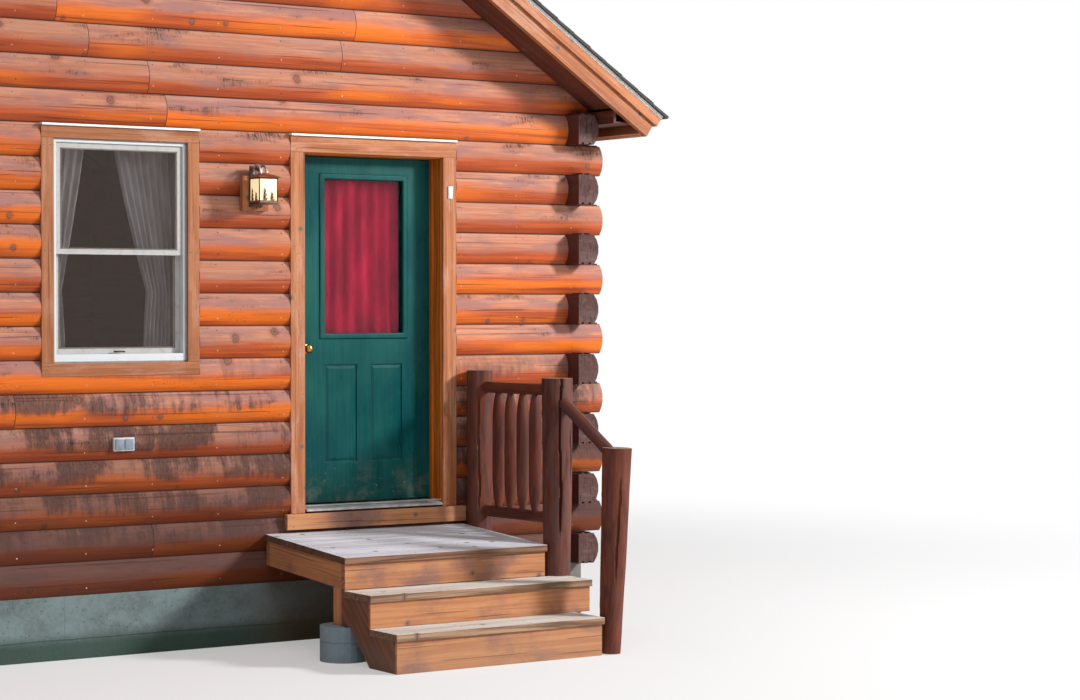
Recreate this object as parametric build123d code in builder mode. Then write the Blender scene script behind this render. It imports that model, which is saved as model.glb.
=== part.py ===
from build123d import *

import os
from math import asin, atan2, ceil, cos, degrees, pi, sin, sqrt, tan

# Log cabin with a gable front, a small porch and one door.
# Millimetres. X runs along the front wall, Y runs into the building and Z is up.
# The origin lies on the ground, in the middle of the whole object's footprint.

# Cabin body
cabin_width = 6336
cabin_depth = 7315
wall_courses = 15
course_height = 185
seal_joint = 0.3
log_thickness = 150
log_bulge = 35
log_flats = 5
log_pass = 110
butt_joint = 1.5
cut_margin = 5
foundation_height = 350
foundation_thickness = 200
foundation_setback = 32

# Tongues and grooves that show on the open corner ends
tongue_width = 14
tongue_height = 9
tongue_spacing = 52
groove_clearance = 3

# Floor
floor_above_log_base = 400
floor_thickness = 60

# Roof
roof_rise = 8
roof_run = 12
rake_overhang = 305
eave_overhang = 228
rafter_seat = 130
rafter_depth = 235
rafter_width = 38
rafter_spacing = 610
ridge_board_depth = 286
deck_thickness = 16
barge_depth = 165
barge_thickness = 38
trim_depth = 60
trim_thickness = 19
soffit_thickness = 12
soffit_recess = 14
soffit_return_gap = 2
eave_soffit_rise = 75
drip_depth = 19
drip_thickness = 2
shingle_thickness = 18
shingle_overhang = 25
ridge_cap_width = 150
ridge_cap_thickness = 8
ridge_vent_gap = 20

# Openings in the walls
window_width = 816
window_height = 1243
window_head_above_floor = 2115
front_window_offset = 15
window_clearance = 8
casing_width = 92
casing_thickness = 19
casing_reveal = 9
casing_slack = 1
window_casing_width = 72
window_casing_lap = 6
drip_cap_height = 12
drip_cap_reach = 34
drip_cap_skin = 2
side_window_offset = 1600
back_window_offset = 1400

# Window units
vinyl_width = 28
vinyl_sill_height = 55
vinyl_depth = 84
sash_width = 36
sash_depth = 30
sash_setback = 12
sash_clearance = 1
glass_thickness = 6
curtain_thickness = 14
curtain_lap = 40
curtain_parting = 12
curtain_tie_width = 100
curtain_tie_drop = 120
curtain_hem_width = 150
door_curtain_lap = 10
door_curtain_above = 30
door_curtain_below = 25

# Door
door_centre = 1634
door_width = 914
door_height = 2032
door_thickness = 44
door_gap = 5
door_face_depth = 138
door_sill_above_floor = 36
jamb_thickness = 32
stop_width = 32
stop_thickness = 12
threshold_height = 30
threshold_nose = 6
threshold_flat = 25
threshold_round = 3
sill_board_height = 90
sill_board_thickness = 38
sill_board_side = 46
sill_board_drop = 10
lite_width = 600
lite_height = 975
lite_head = 95
lite_frame_width = 34
lite_frame_lap = 20
lite_frame_stand = 9
door_panel_width = 215
door_panel_height = 575
door_panel_gap = 95
door_panel_base = 235
door_panel_recess = 7
door_panel_groove = 22
knob_height = 905
knob_backset = 62
knob_radius = 27
knob_stand = 62
knob_rose_radius = 33
knob_rose_depth = 5
knob_neck_radius = 11
knob_neck_length = 24
knob_grip_length = 14
knob_crown_radius = 17
knob_flats = 16
hinge_height = 102
hinge_pin_radius = 6
hinge_pin_flats = 8
hinge_leaf_clearance = 0.1
hinge_knuckle_clearance = 1
hinge_pin_stand = 7
hinge_leaf_thickness = 2
hinge_leaf_width = 34
hinge_drop = 230
swing_clearance = 0.5

# Porch and steps
porch_left_of_door = 733
porch_right_of_door = 599
porch_drop = 118
porch_fall = 60
porch_depth = 925
porch_boards = 7
porch_board_gap = 4
board_thickness = 38
frame_depth = 140
frame_thickness = 38
frame_setback = 15
joist_spacing = 400
support_post = 89
support_pier_radius = 135
support_pier_flats = 24
support_pier_height = 195
support_inset = 170
step_rise = 180
step_run = 276
tread_boards_gap = 5
riser_thickness = 19
stringer_clearance = 5
stringer_slope_run = 207
upper_tread_extra = 120
lower_tread_extra = 10
side_overhang = 8

# Railing of peeled logs
peeled_log_flats = 12
rail_wall_post_radius = 78
rail_wall_post_height = 898
rail_wall_gap = 12
rail_mid_post_radius = 90
mid_post_setback = 30
rail_mid_post_foot = 76
rail_mid_post_height = 868
newel_radius = 82
newel_foot = 58
newel_top = 1120
newel_lean = 40
newel_gap = 2
newel_share_of_step = 0.75
rail_post_notch = 6
rail_post_offset = 3
rail_radius = 34
rail_top_above_porch = 824
rail_low_above_porch = 84
baluster_count = 4
baluster_radius = 38
baluster_tip = 17
baluster_taper = 95
handrail_radius = 28
handrail_below_mid_post = 105
handrail_below_newel = 28

# Wall lantern and socket cover
lantern_left_of_door = 810
lantern_above_floor = 1740
lantern_width = 124
lantern_height = 186
lantern_block_width = 165
lantern_block_height = 200
lantern_block_thickness = 38
lantern_plate_width = 84
lantern_plate_height = 236
lantern_plate_thickness = 12
lantern_arm_length = 25
lantern_arm_width = 24
lantern_bar = 10
lantern_glass_gap = 2
lantern_lip = 8
lantern_top_depth = 12
lantern_roof_height = 34
lantern_roof_taper = 58
socket_centre = 17
socket_above_floor = 426
socket_width = 126
socket_depth = 75
socket_stand = 26
socket_chamfer = 5

# Places worked out from the sizes
half_width = cabin_width / 2
porch_left = door_centre - porch_left_of_door
porch_right = door_centre + porch_right_of_door
pitch = atan2(roof_rise, roof_run)
log_base = foundation_height
wall_top = log_base + wall_courses * course_height
floor_top = log_base + floor_above_log_base
porch_top_at_wall = floor_top - porch_drop
rail_wall_post_top = porch_top_at_wall + rail_wall_post_height
rail_mid_post_top = porch_top_at_wall + rail_mid_post_height
rail_top_height = porch_top_at_wall + rail_top_above_porch
rail_low_height = porch_top_at_wall + rail_low_above_porch
upper_nose = porch_depth + step_run
lower_nose = upper_nose + step_run
newel_d = upper_nose + step_run * newel_share_of_step
newel_length = sqrt(newel_top ** 2 + 2 * newel_lean ** 2)
newel_reach = newel_d + newel_lean + newel_radius * sqrt(1 - (newel_lean / newel_length) ** 2)
porch_reach = max(lower_nose, newel_reach)
rake_reach = rake_overhang + trim_thickness + drip_thickness + shingle_overhang
front_y = (porch_reach - rake_reach - cabin_depth) / 2
back_y = front_y + cabin_depth
middle_y = (front_y + back_y) / 2


def out(distance):
    # Y of a point that stands this far out from the front wall
    return front_y - distance


def course_z(course):
    return log_base + course * course_height


# Roof lines: s runs down the slope from the foot of the barge board, t stands square to it
slope_x = cos(pitch)
slope_z = sin(pitch)
deck_under = barge_depth - deck_thickness
rafter_low = deck_under - rafter_depth
eave_foot_x = half_width + eave_overhang
seat_run = eave_foot_x - (half_width - rafter_seat)
eave_foot_z = wall_top - seat_run * tan(pitch) - rafter_low / slope_x


def roof_point(s, t, side=1):
    x = eave_foot_x + s * slope_x + t * slope_z
    z = eave_foot_z - s * slope_z + t * slope_x
    return (side * x, z)


def ridge_s(t):
    # how far up the slope, as a negative s, the line at t meets the middle plane
    return -(eave_foot_x + t * slope_z) / slope_x


deck_under_at_wall = eave_foot_z + (eave_foot_x - half_width) * tan(pitch) + deck_under / slope_x


def roof_strip(s_end, t_low, t_high, side, ridge_gap=0.0):
    # Corners of a band of the roof's section, from the ridge down to s_end
    low = roof_point(s_end, t_low, side)
    high = roof_point(s_end, t_high, side)
    top_z = roof_point(ridge_s(t_high), t_high)[1] - ridge_gap * tan(pitch)
    foot_z = roof_point(ridge_s(t_low), t_low)[1] - ridge_gap * tan(pitch)
    return [low, high, (side * ridge_gap, top_z), (side * ridge_gap, foot_z)]


def extrude_outline(plane, points, amount, mode=Mode.ADD):
    # A straight-sided piece from the corners of its section
    with BuildSketch(plane) as section:
        with BuildLine():
            Polyline(*points, close=True)
        make_face()
    extrude(section.sketch, amount=amount, mode=mode)


def round_in_flats(foot, top, stations, flats):
    # A round piece cut in narrow flats about the line from foot to top
    # stations are (distance from the foot, radius) pairs
    line = Vector(*top) - Vector(*foot)
    along = line.normalized()
    across = (Vector(1, 0, 0) - along * along.X).normalized()
    for (near, near_radius), (far, far_radius) in zip(stations, stations[1:]):
        if far > near:
            narrowing = (near_radius - far_radius) * cos(pi / flats)
            origin = Vector(*foot) + along * near
            with BuildSketch(Plane(origin=origin, x_dir=across, z_dir=along)) as ring:
                RegularPolygon(near_radius, flats)
            extrude(ring.sketch, amount=far - near, taper=degrees(atan2(narrowing, far - near)))


# Walls: each has a middle point, the direction along it and the direction into the room
FRONT = ((0, front_y), (1, 0), (0, 1), cabin_width)
BACK = ((0, back_y), (-1, 0), (0, -1), cabin_width)
RIGHT = ((half_width, middle_y), (0, 1), (-1, 0), cabin_depth)
LEFT = ((-half_width, middle_y), (0, -1), (1, 0), cabin_depth)


def wall_plane(wall, s, depth=0.0, z=0.0):
    # Section plane across a wall: local x into the room, local y up, normal along the wall
    (x, y), (ax, ay), (ix, iy), length = wall
    origin = (x + ax * s + ix * depth, y + ay * s + iy * depth, z)
    return Plane(origin=origin, x_dir=(ix, iy, 0), z_dir=(ax, ay, 0))


def face_plane(wall, depth=0.0):
    # Plane of a wall's outer face: local x along the wall, local y up, normal outwards
    (x, y), (ax, ay), (ix, iy), length = wall
    origin = (x + ix * depth, y + iy * depth, 0)
    return Plane(origin=origin, x_dir=(ax, ay, 0), z_dir=(-ix, -iy, 0))


def round_face_points(top):
    # The milled round of the outer face, planed in narrow flats, from its top edge down
    face_radius = ((top / 2) ** 2 + log_bulge ** 2) / (2 * log_bulge)
    half_angle = asin(top / 2 / face_radius)
    # The middle flat lies in the plane of the wall's outer face
    middle_angle = half_angle * (log_flats % 2) / log_flats
    middle_sag = face_radius * (1 - cos(middle_angle))
    stretch = log_bulge / (log_bulge - middle_sag)
    points = []
    for flat in range(log_flats + 1):
        angle = half_angle * (1 - 2 * flat / log_flats)
        depth = (face_radius * (1 - cos(angle)) - middle_sag) * stretch
        points.append((depth, top / 2 + face_radius * sin(angle)))
    return points


def lay_log(wall, course, start, end):
    # D-shaped section of a milled log: flat inside, flat beds and a rounded outer face
    top = course_height - seal_joint
    corners = [(log_thickness, 0), (log_thickness, top)] + round_face_points(top)
    extrude_outline(wall_plane(wall, start, z=course_z(course)), corners, end - start)


tongue_middle = (log_thickness + log_bulge) / 2
tongue_places = (tongue_middle - tongue_spacing / 2, tongue_middle + tongue_spacing / 2)


def log_end_tongues(wall, course, start, end):
    # The open end of a passing log shows its two tongues on top and two grooves below
    top = course_height - seal_joint
    plane = wall_plane(wall, start, z=course_z(course))
    for place in tongue_places:
        with BuildSketch(plane) as tongue:
            with Locations((place, top + tongue_height / 2)):
                Rectangle(tongue_width, tongue_height)
        extrude(tongue.sketch, amount=end - start)
        with BuildSketch(plane) as groove:
            with Locations((place, (tongue_height + groove_clearance) / 2)):
                Rectangle(tongue_width + groove_clearance, tongue_height + groove_clearance)
        extrude(groove.sketch, amount=end - start, mode=Mode.SUBTRACT)


def trim_to_roof():
    # Gable logs stop at the underside of the roof boards
    for side in (1, -1):
        x, z = roof_point(0, deck_under - seal_joint, side)
        plane = Plane(origin=(x, 0, z), x_dir=(0, 1, 0), z_dir=(side * slope_z, 0, slope_x))
        split(bisect_by=plane, keep=Keep.BOTTOM)


def cut_box(wall, centre, width, low, high, depth_from, depth_to):
    with BuildSketch(face_plane(wall, depth_from)) as opening:
        with Locations((centre, (low + high) / 2)):
            Rectangle(width, high - low)
    extrude(opening.sketch, amount=-(depth_to - depth_from), mode=Mode.SUBTRACT)


def make_log(wall, course, reach, passes, joints):
    # One course of a wall, with what is cut out of it
    length = wall[3]
    low, high = course_z(course), course_z(course + 1)
    with BuildPart() as log:
        lay_log(wall, course, -reach, reach)
        if passes:
            log_end_tongues(wall, course, -reach, -length / 2)
            log_end_tongues(wall, course, length / 2, reach)
        if course >= wall_courses:
            trim_to_roof()
        for cut_wall, centre, width, cut_low, cut_high, depth in wall_cuts:
            if cut_wall == wall and cut_low < high and cut_high > low:
                cut_box(wall, centre, width, cut_low, cut_high, -cut_margin, depth)
        for joint_course, place in joints:
            if joint_course == course:
                cut_box(wall, place, butt_joint, low, high, -cut_margin, log_thickness + cut_margin)
    return log.part


def wall_logs(wall, passing_parity, joints, has_gable):
    # Courses of one parity run past the corner, the others stop against the crossing logs
    length = wall[3]
    logs = []
    for course in range(wall_courses):
        passes = course % 2 == passing_parity
        reach = length / 2 + log_pass if passes else length / 2 - log_thickness - seal_joint
        logs.append(make_log(wall, course, reach, passes, joints))
    if has_gable:
        peak = deck_under_at_wall + half_width * tan(pitch)
        course = wall_courses
        while course_z(course) + course_height / 4 < peak:
            logs.append(make_log(wall, course, half_width, False, joints))
            course += 1
    return logs


def course_above(z):
    # Bottom of the first whole course above a height
    return course_z(ceil((z - log_base) / course_height))


# Windows: the wall and the place of each middle along its wall
window_head = floor_top + window_head_above_floor
window_sill = window_head - window_height
window_places = [(FRONT, front_window_offset)]
for wall in (LEFT, RIGHT):
    window_places.append((wall, -side_window_offset))
    window_places.append((wall, side_window_offset))
window_places.append((BACK, -back_window_offset))
window_places.append((BACK, back_window_offset))

window_rough_width = window_width + 2 * window_clearance
window_rough_top = course_above(window_head + window_clearance) - seal_joint / 2
window_rough_bottom = window_sill - window_clearance
window_casing_outer = window_width + 2 * (window_casing_width - window_casing_lap)
window_casing_top = window_rough_top - drip_cap_height
window_casing_bottom = window_sill - (window_casing_width - window_casing_lap)

# Door opening
door_sill = floor_top + door_sill_above_floor
door_head = door_sill + door_height
jamb_inner = door_width / 2 + door_gap
jamb_outer = jamb_inner + jamb_thickness
door_rough_half = jamb_outer + window_clearance
door_rough_top = course_above(door_head + door_gap + jamb_thickness) - seal_joint / 2
door_rough_bottom = floor_top
door_casing_inner = jamb_inner + casing_reveal
door_casing_outer = door_casing_inner + casing_width
door_casing_top = door_rough_top - drip_cap_height
door_inner_face = door_face_depth + door_thickness
jamb_depth = door_inner_face
sill_board_top = floor_top - sill_board_drop
sill_board_bottom = sill_board_top - sill_board_height


# What is cut out of the logs: wall, middle, width, bottom, top and depth
through = log_thickness + cut_margin
flat = casing_thickness + seal_joint
wall_cuts = [
    (FRONT, door_centre, 2 * door_rough_half, door_rough_bottom, door_rough_top, through),
    (FRONT, door_centre, 2 * (door_casing_outer + casing_slack), sill_board_top, door_rough_top,
     flat),
]
for wall, centre in window_places:
    wall_cuts.append((wall, centre, window_rough_width, window_rough_bottom, window_rough_top,
                      through))
    wall_cuts.append((wall, centre, window_casing_outer + 2 * casing_slack,
                      window_casing_bottom - casing_slack, window_rough_top, flat))

# Walls of logs, with the course and place of each open butt joint
front_joints = ((1, 204), (3, -1210), (5, -610), (10, -1630), (14, 291), (15, 184),
                (16, -178), (16, 1413), (17, -365), (17, 1506), (19, -510))
back_joints = ((2, 700), (4, -900), (9, 150), (14, 500), (16, -400))
left_joints = ((1, 900), (3, -500), (8, 300), (11, -250), (14, 1300))
right_joints = ((2, -700), (5, 400), (7, 150), (12, -300), (14, -1500))
front_logs = wall_logs(FRONT, 1, front_joints, True)
back_logs = wall_logs(BACK, 1, back_joints, True)
left_logs = wall_logs(LEFT, 0, left_joints, False)
right_logs = wall_logs(RIGHT, 0, right_joints, False)

with BuildPart() as front_wall:
    add(front_logs)
front_wall.part.label = "front_wall"

with BuildPart() as back_wall:
    add(back_logs)
back_wall.part.label = "back_wall"

with BuildPart() as left_wall:
    add(left_logs)
left_wall.part.label = "left_wall"

with BuildPart() as right_wall:
    add(right_logs)
right_wall.part.label = "right_wall"

# Foundation: a low concrete wall under the logs
stem_x = half_width - foundation_setback
stem_front = front_y + foundation_setback
stem_back = back_y - foundation_setback
stem_depth = stem_back - stem_front
stem_side = stem_depth - 2 * foundation_thickness - 2 * seal_joint
with BuildPart() as foundation:
    with BuildSketch(Plane.XY):
        with Locations((0, stem_front + foundation_thickness / 2),
                       (0, stem_back - foundation_thickness / 2)):
            Rectangle(2 * stem_x, foundation_thickness)
        with Locations((stem_x - foundation_thickness / 2, middle_y),
                       (foundation_thickness / 2 - stem_x, middle_y)):
            Rectangle(foundation_thickness, stem_side)
    extrude(amount=foundation_height)
foundation.part.label = "foundation"

# Floor between the walls
room_half_width = half_width - log_thickness
room_half_depth = cabin_depth / 2 - log_thickness
with BuildPart() as floor_slab:
    with BuildSketch(Plane.XY.offset(floor_top - floor_thickness)):
        with Locations((0, middle_y)):
            Rectangle(2 * (room_half_width - seal_joint), 2 * (room_half_depth - seal_joint))
    extrude(amount=floor_thickness)
floor_slab.part.label = "floor"

# Roof frame: a ridge board and pairs of rafters with a seat on the wall and a level tail
fascia_back = -barge_thickness
soffit_z = eave_foot_z + eave_soffit_rise
ridge_top_z = roof_point(ridge_s(deck_under), deck_under)[1] - rafter_width / 2 * tan(pitch)
rafter_half = rafter_width / 2


def z_on_roof(x, t):
    return eave_foot_z + (eave_foot_x - x) * tan(pitch) + t / slope_x


def rafter_corners(side):
    tail_top = roof_point(fascia_back - seal_joint, deck_under, side)
    tail_x, tail_z = roof_point(fascia_back - seal_joint, 0)
    tail_run = (soffit_z + soffit_thickness - tail_z) / slope_x
    tail_low_x = tail_x + tail_run * slope_z
    head_x = rafter_half + seal_joint
    return [
        tail_top,
        (side * head_x, z_on_roof(head_x, deck_under)),
        (side * head_x, z_on_roof(head_x, rafter_low)),
        (side * (half_width - rafter_seat), wall_top),
        (side * (half_width + seal_joint), wall_top),
        (side * (half_width + seal_joint), soffit_z + soffit_thickness),
        (side * tail_low_x, soffit_z + soffit_thickness),
    ]


rafter_room = cabin_depth - 2 * log_thickness - rafter_width - 2 * seal_joint
rafter_bays = ceil(rafter_room / rafter_spacing)
rafter_pitch = rafter_room / rafter_bays
first_rafter = front_y + log_thickness + seal_joint
with BuildPart() as roof_frame:
    with BuildSketch(Plane.XZ.offset(-first_rafter)):
        with Locations((0, ridge_top_z - ridge_board_depth / 2)):
            Rectangle(rafter_width, ridge_board_depth)
    extrude(amount=-(rafter_room + rafter_width))
    for bay in range(rafter_bays + 1):
        for side in (1, -1):
            rafter_y = first_rafter + bay * rafter_pitch
            extrude_outline(Plane.XZ.offset(-rafter_y), rafter_corners(side), -rafter_width)
roof_frame.part.label = "roof_frame"

# Roof boards, shingle layer and ridge cap
deck_reach = rake_overhang + trim_thickness
shingle_reach = deck_reach + drip_thickness + shingle_overhang


def roof_layer(s_end, t_low, t_high, reach, ridge_gap):
    for side in (1, -1):
        extrude_outline(Plane.XZ.offset(-(front_y - reach)),
                        roof_strip(s_end, t_low, t_high, side, ridge_gap), -(cabin_depth + 2 * reach))


with BuildPart() as roof_deck:
    roof_layer(trim_thickness, deck_under, barge_depth, deck_reach, ridge_vent_gap)
roof_deck.part.label = "roof_deck"

shingle_foot = trim_thickness + drip_thickness + shingle_overhang
with BuildPart() as roof_shingles:
    roof_layer(shingle_foot, barge_depth, barge_depth + shingle_thickness, shingle_reach,
               ridge_vent_gap)
roof_shingles.part.label = "roof_shingles"

cap_low = barge_depth + shingle_thickness
with BuildPart() as ridge_cap:
    for side in (1, -1):
        extrude_outline(Plane.XZ.offset(-(front_y - shingle_reach)),
                        roof_strip(ridge_s(cap_low) + ridge_cap_width, cap_low,
                                   cap_low + ridge_cap_thickness, side),
                        -(cabin_depth + 2 * shingle_reach))
ridge_cap.part.label = "ridge_cap"

# Barge boards on the rakes and fascia boards on the eaves
mitre_gap = 0.5


def rake_boards(reach, thickness, s_end, t_low, t_high):
    # One board down each slope at the front and at the back, its outer face at reach
    for start in (front_y - reach, back_y + reach - thickness):
        for side in (1, -1):
            extrude_outline(Plane.XZ.offset(-start),
                            roof_strip(s_end, t_low, t_high, side, mitre_gap), -thickness)


def eave_boards(s_out, thickness, t_low, t_high, reach):
    for side in (1, -1):
        corners = [
            roof_point(s_out, t_low, side),
            roof_point(s_out, t_high, side),
            roof_point(s_out - thickness, t_high, side),
            roof_point(s_out - thickness, t_low, side),
        ]
        extrude_outline(Plane.XZ.offset(-(front_y - reach)), corners, -(cabin_depth + 2 * reach))


barge_inner = rake_overhang - barge_thickness
with BuildPart() as fascia_boards:
    rake_boards(rake_overhang, barge_thickness, 0, 0, deck_under)
    eave_boards(0, barge_thickness, 0, deck_under, barge_inner - seal_joint)
fascia_boards.part.label = "fascia_boards"

trim_top = deck_under
trim_low = trim_top - trim_depth
with BuildPart() as rake_trim:
    rake_boards(rake_overhang + trim_thickness, trim_thickness, trim_thickness, trim_low, trim_top)
    eave_boards(trim_thickness, trim_thickness, trim_low, trim_top, rake_overhang - seal_joint)
rake_trim.part.label = "rake_trim"

# Drip edges: thin folded metal that hangs over the trim
drip_low = barge_depth - drip_depth
with BuildPart() as drip_edges:
    rake_boards(deck_reach + drip_thickness, drip_thickness, trim_thickness + drip_thickness,
                drip_low, barge_depth)
    eave_boards(trim_thickness + drip_thickness, drip_thickness, drip_low, barge_depth,
                deck_reach - seal_joint)
drip_edges.part.label = "drip_edges"

# Soffits: sloping under the rakes, level under the eaves, with a closing board at each corner
soffit_low = soffit_recess
soffit_high = soffit_recess + soffit_thickness
rake_soffit_depth = barge_inner - 2 * seal_joint
eave_soffit_in = half_width + seal_joint
return_high = z_on_roof(half_width + trim_thickness, soffit_low) - seal_joint
with BuildPart() as soffits:
    for start in (front_y - barge_inner + seal_joint, back_y + seal_joint):
        for side in (1, -1):
            foot_x = half_width + seal_joint
            with BuildSketch(Plane.XZ.offset(-start)):
                with BuildLine():
                    Polyline(
                        (side * mitre_gap, z_on_roof(mitre_gap, soffit_low)),
                        (side * mitre_gap, z_on_roof(mitre_gap, soffit_high)),
                        (side * foot_x, z_on_roof(foot_x, soffit_high)),
                        (side * foot_x, z_on_roof(foot_x, soffit_low)),
                        close=True,
                    )
                make_face()
            extrude(amount=-rake_soffit_depth)
    soffit_out_x = roof_point(fascia_back - seal_joint, 0)[0]
    soffit_out_x += (soffit_z - roof_point(fascia_back, 0)[1]) * tan(pitch)
    for side in (1, -1):
        with BuildSketch(Plane.XY.offset(soffit_z)):
            with Locations((side * (eave_soffit_in + soffit_out_x) / 2, middle_y)):
                Rectangle(soffit_out_x - eave_soffit_in, cabin_depth + 2 * barge_inner - 2 * seal_joint)
        extrude(amount=soffit_thickness)
        with BuildSketch(Plane.XY.offset(soffit_z + soffit_thickness + seal_joint)):
            for place in (front_y - barge_inner / 2, back_y + barge_inner / 2):
                with Locations((side * (half_width + trim_thickness / 2 + soffit_return_gap), place)):
                    Rectangle(trim_thickness, barge_inner - 2 * seal_joint)
        extrude(amount=return_high - soffit_z - soffit_thickness - 2 * seal_joint)
soffits.part.label = "soffits"


# Window units: casing boards let into the logs outside and laid on the flat inside
def box_on_wall(wall, centre, width, low, high, depth_from, depth_to):
    with BuildSketch(face_plane(wall, depth_from)) as board:
        with Locations((centre, (low + high) / 2)):
            Rectangle(width, high - low)
    extrude(board.sketch, amount=-(depth_to - depth_from))


window_casing_inner = window_width / 2 - window_casing_lap
side_centre = window_casing_inner + window_casing_width / 2


def window_casing_set(wall, centre, depth):
    head_low = window_head - window_casing_lap
    sill_high = window_sill + window_casing_lap
    for side in (1, -1):
        box_on_wall(wall, centre + side * side_centre, window_casing_width, sill_high + seal_joint,
                    head_low - seal_joint, depth, depth + casing_thickness)
    box_on_wall(wall, centre, window_casing_outer, head_low, window_casing_top,
                depth, depth + casing_thickness)
    box_on_wall(wall, centre, window_casing_outer, window_casing_bottom, sill_high,
                depth, depth + casing_thickness)


with BuildPart() as window_casings:
    for wall, centre in window_places:
        window_casing_set(wall, centre, 0)
        window_casing_set(wall, centre, log_thickness)
window_casings.part.label = "window_casings"


def drip_cap_over(wall, centre, width, z):
    # A folded strip: a level top with a short lip down over the casing's face
    lip = casing_thickness - drip_cap_reach
    corners = [
        (casing_thickness, 0),
        (casing_thickness, drip_cap_height),
        (lip, drip_cap_height - drip_cap_skin),
        (lip, -drip_cap_skin),
        (lip + drip_cap_skin, -drip_cap_skin),
        (lip + drip_cap_skin, 0),
    ]
    extrude_outline(wall_plane(wall, centre - width / 2, z=z), corners, width)


with BuildPart() as drip_caps:
    for wall, centre in window_places:
        drip_cap_over(wall, centre, window_casing_outer, window_casing_top)
    drip_cap_over(FRONT, door_centre, 2 * door_casing_outer, door_casing_top)
drip_caps.part.label = "drip_caps"

# Vinyl frames: one welded ring for each window, behind its casing
vinyl_setback = casing_thickness + seal_joint
glass_opening_half = window_width / 2 - vinyl_width
vinyl_inner_top = window_head - vinyl_width
vinyl_inner_bottom = window_sill + vinyl_sill_height
with BuildPart() as window_frames:
    for wall, centre in window_places:
        with BuildSketch(face_plane(wall, vinyl_setback)):
            with Locations((centre, (window_head + window_sill) / 2)):
                Rectangle(window_width, window_height)
            with Locations((centre, (vinyl_inner_top + vinyl_inner_bottom) / 2)):
                Rectangle(window_width - 2 * vinyl_width, vinyl_inner_top - vinyl_inner_bottom,
                          mode=Mode.SUBTRACT)
        extrude(amount=-vinyl_depth)
window_frames.part.label = "window_frames"

# Sashes: the upper one outside the lower one, both as rings around the glass
sash_half = glass_opening_half - seal_joint
meeting_z = (window_head + window_sill) / 2
upper_depth = vinyl_setback + sash_setback
lower_depth = upper_depth + sash_depth + sash_clearance


def sash_ring(wall, centre, low, high, depth):
    with BuildSketch(face_plane(wall, depth)) as ring:
        with Locations((centre, (low + high) / 2)):
            Rectangle(2 * sash_half, high - low)
            Rectangle(2 * (sash_half - sash_width), high - low - 2 * sash_width, mode=Mode.SUBTRACT)
    extrude(ring.sketch, amount=-sash_depth)


upper_sash = (meeting_z - sash_width / 2, vinyl_inner_top - seal_joint)
lower_sash = (vinyl_inner_bottom + seal_joint, meeting_z + sash_width / 2)
with BuildPart() as window_sashes:
    for wall, centre in window_places:
        sash_ring(wall, centre, upper_sash[0], upper_sash[1], upper_depth)
        sash_ring(wall, centre, lower_sash[0], lower_sash[1], lower_depth)
window_sashes.part.label = "window_sashes"

with BuildPart() as window_glass:
    for wall, centre in window_places:
        for (low, high), depth in ((upper_sash, upper_depth), (lower_sash, lower_depth)):
            middle = depth + (sash_depth - glass_thickness) / 2
            box_on_wall(wall, centre, 2 * (sash_half - sash_width - seal_joint),
                        low + sash_width + seal_joint, high - sash_width - seal_joint,
                        middle, middle + glass_thickness)
window_glass.part.label = "window_glass"

# Curtains of the front window: two tied-back panels hung on the inner casing
with BuildPart() as window_curtains:
    curtain_depth = log_thickness + casing_thickness + seal_joint
    for side in (1, -1):
        with BuildSketch(face_plane(FRONT, curtain_depth)):
            with BuildLine():
                edge = window_casing_inner + curtain_lap
                hem = edge - curtain_hem_width
                tie = edge - curtain_tie_width
                Polyline(
                    (front_window_offset + side * edge, window_head),
                    (front_window_offset + side * curtain_parting, window_head),
                    (front_window_offset + side * tie, meeting_z - curtain_tie_drop),
                    (front_window_offset + side * hem, window_sill),
                    (front_window_offset + side * edge, window_sill),
                    close=True,
                )
            make_face()
        extrude(amount=-curtain_thickness)
window_curtains.part.label = "window_curtains"

# Door casings: let into the logs outside, and around the jambs inside
def door_casing_set(inner, foot, head_low, head_top, depth):
    for side in (1, -1):
        box_on_wall(FRONT, door_centre + side * (inner + casing_width / 2), casing_width,
                    foot, head_low - seal_joint, depth, depth + casing_thickness)
    box_on_wall(FRONT, door_centre, 2 * (inner + casing_width), head_low, head_top,
                depth, depth + casing_thickness)


jamb_top = door_head + door_gap + jamb_thickness
with BuildPart() as door_casings:
    door_casing_set(door_casing_inner, sill_board_top, door_head + door_gap + casing_reveal,
                    door_casing_top, 0)
    door_casing_set(jamb_outer + seal_joint, floor_top, jamb_top + seal_joint,
                    jamb_top + seal_joint + casing_width, log_thickness)
door_casings.part.label = "door_casings"

# Door jambs with their stop strips: two sides and a head
jamb_front = casing_thickness + seal_joint
stop_from = door_face_depth - door_gap - stop_width
with BuildPart() as door_jambs:
    for side in (1, -1):
        with BuildSketch(Plane.XY.offset(floor_top)):
            with BuildLine():
                inner = door_centre + side * jamb_inner
                outer = door_centre + side * jamb_outer
                stop = inner - side * stop_thickness
                Polyline(
                    (outer, front_y + jamb_front),
                    (inner, front_y + jamb_front),
                    (inner, front_y + stop_from),
                    (stop, front_y + stop_from),
                    (stop, front_y + stop_from + stop_width),
                    (inner, front_y + stop_from + stop_width),
                    (inner, front_y + jamb_depth),
                    (outer, front_y + jamb_depth),
                    close=True,
                )
            make_face()
        extrude(amount=door_head + door_gap - seal_joint - floor_top)
    with BuildSketch(wall_plane(FRONT, door_centre - jamb_outer, z=door_head + door_gap)):
        with BuildLine():
            Polyline(
                (jamb_front, 0),
                (jamb_front, jamb_thickness),
                (jamb_depth, jamb_thickness),
                (jamb_depth, 0),
                close=True,
            )
        make_face()
    extrude(amount=2 * jamb_outer)
door_jambs.part.label = "door_jambs"

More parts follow.
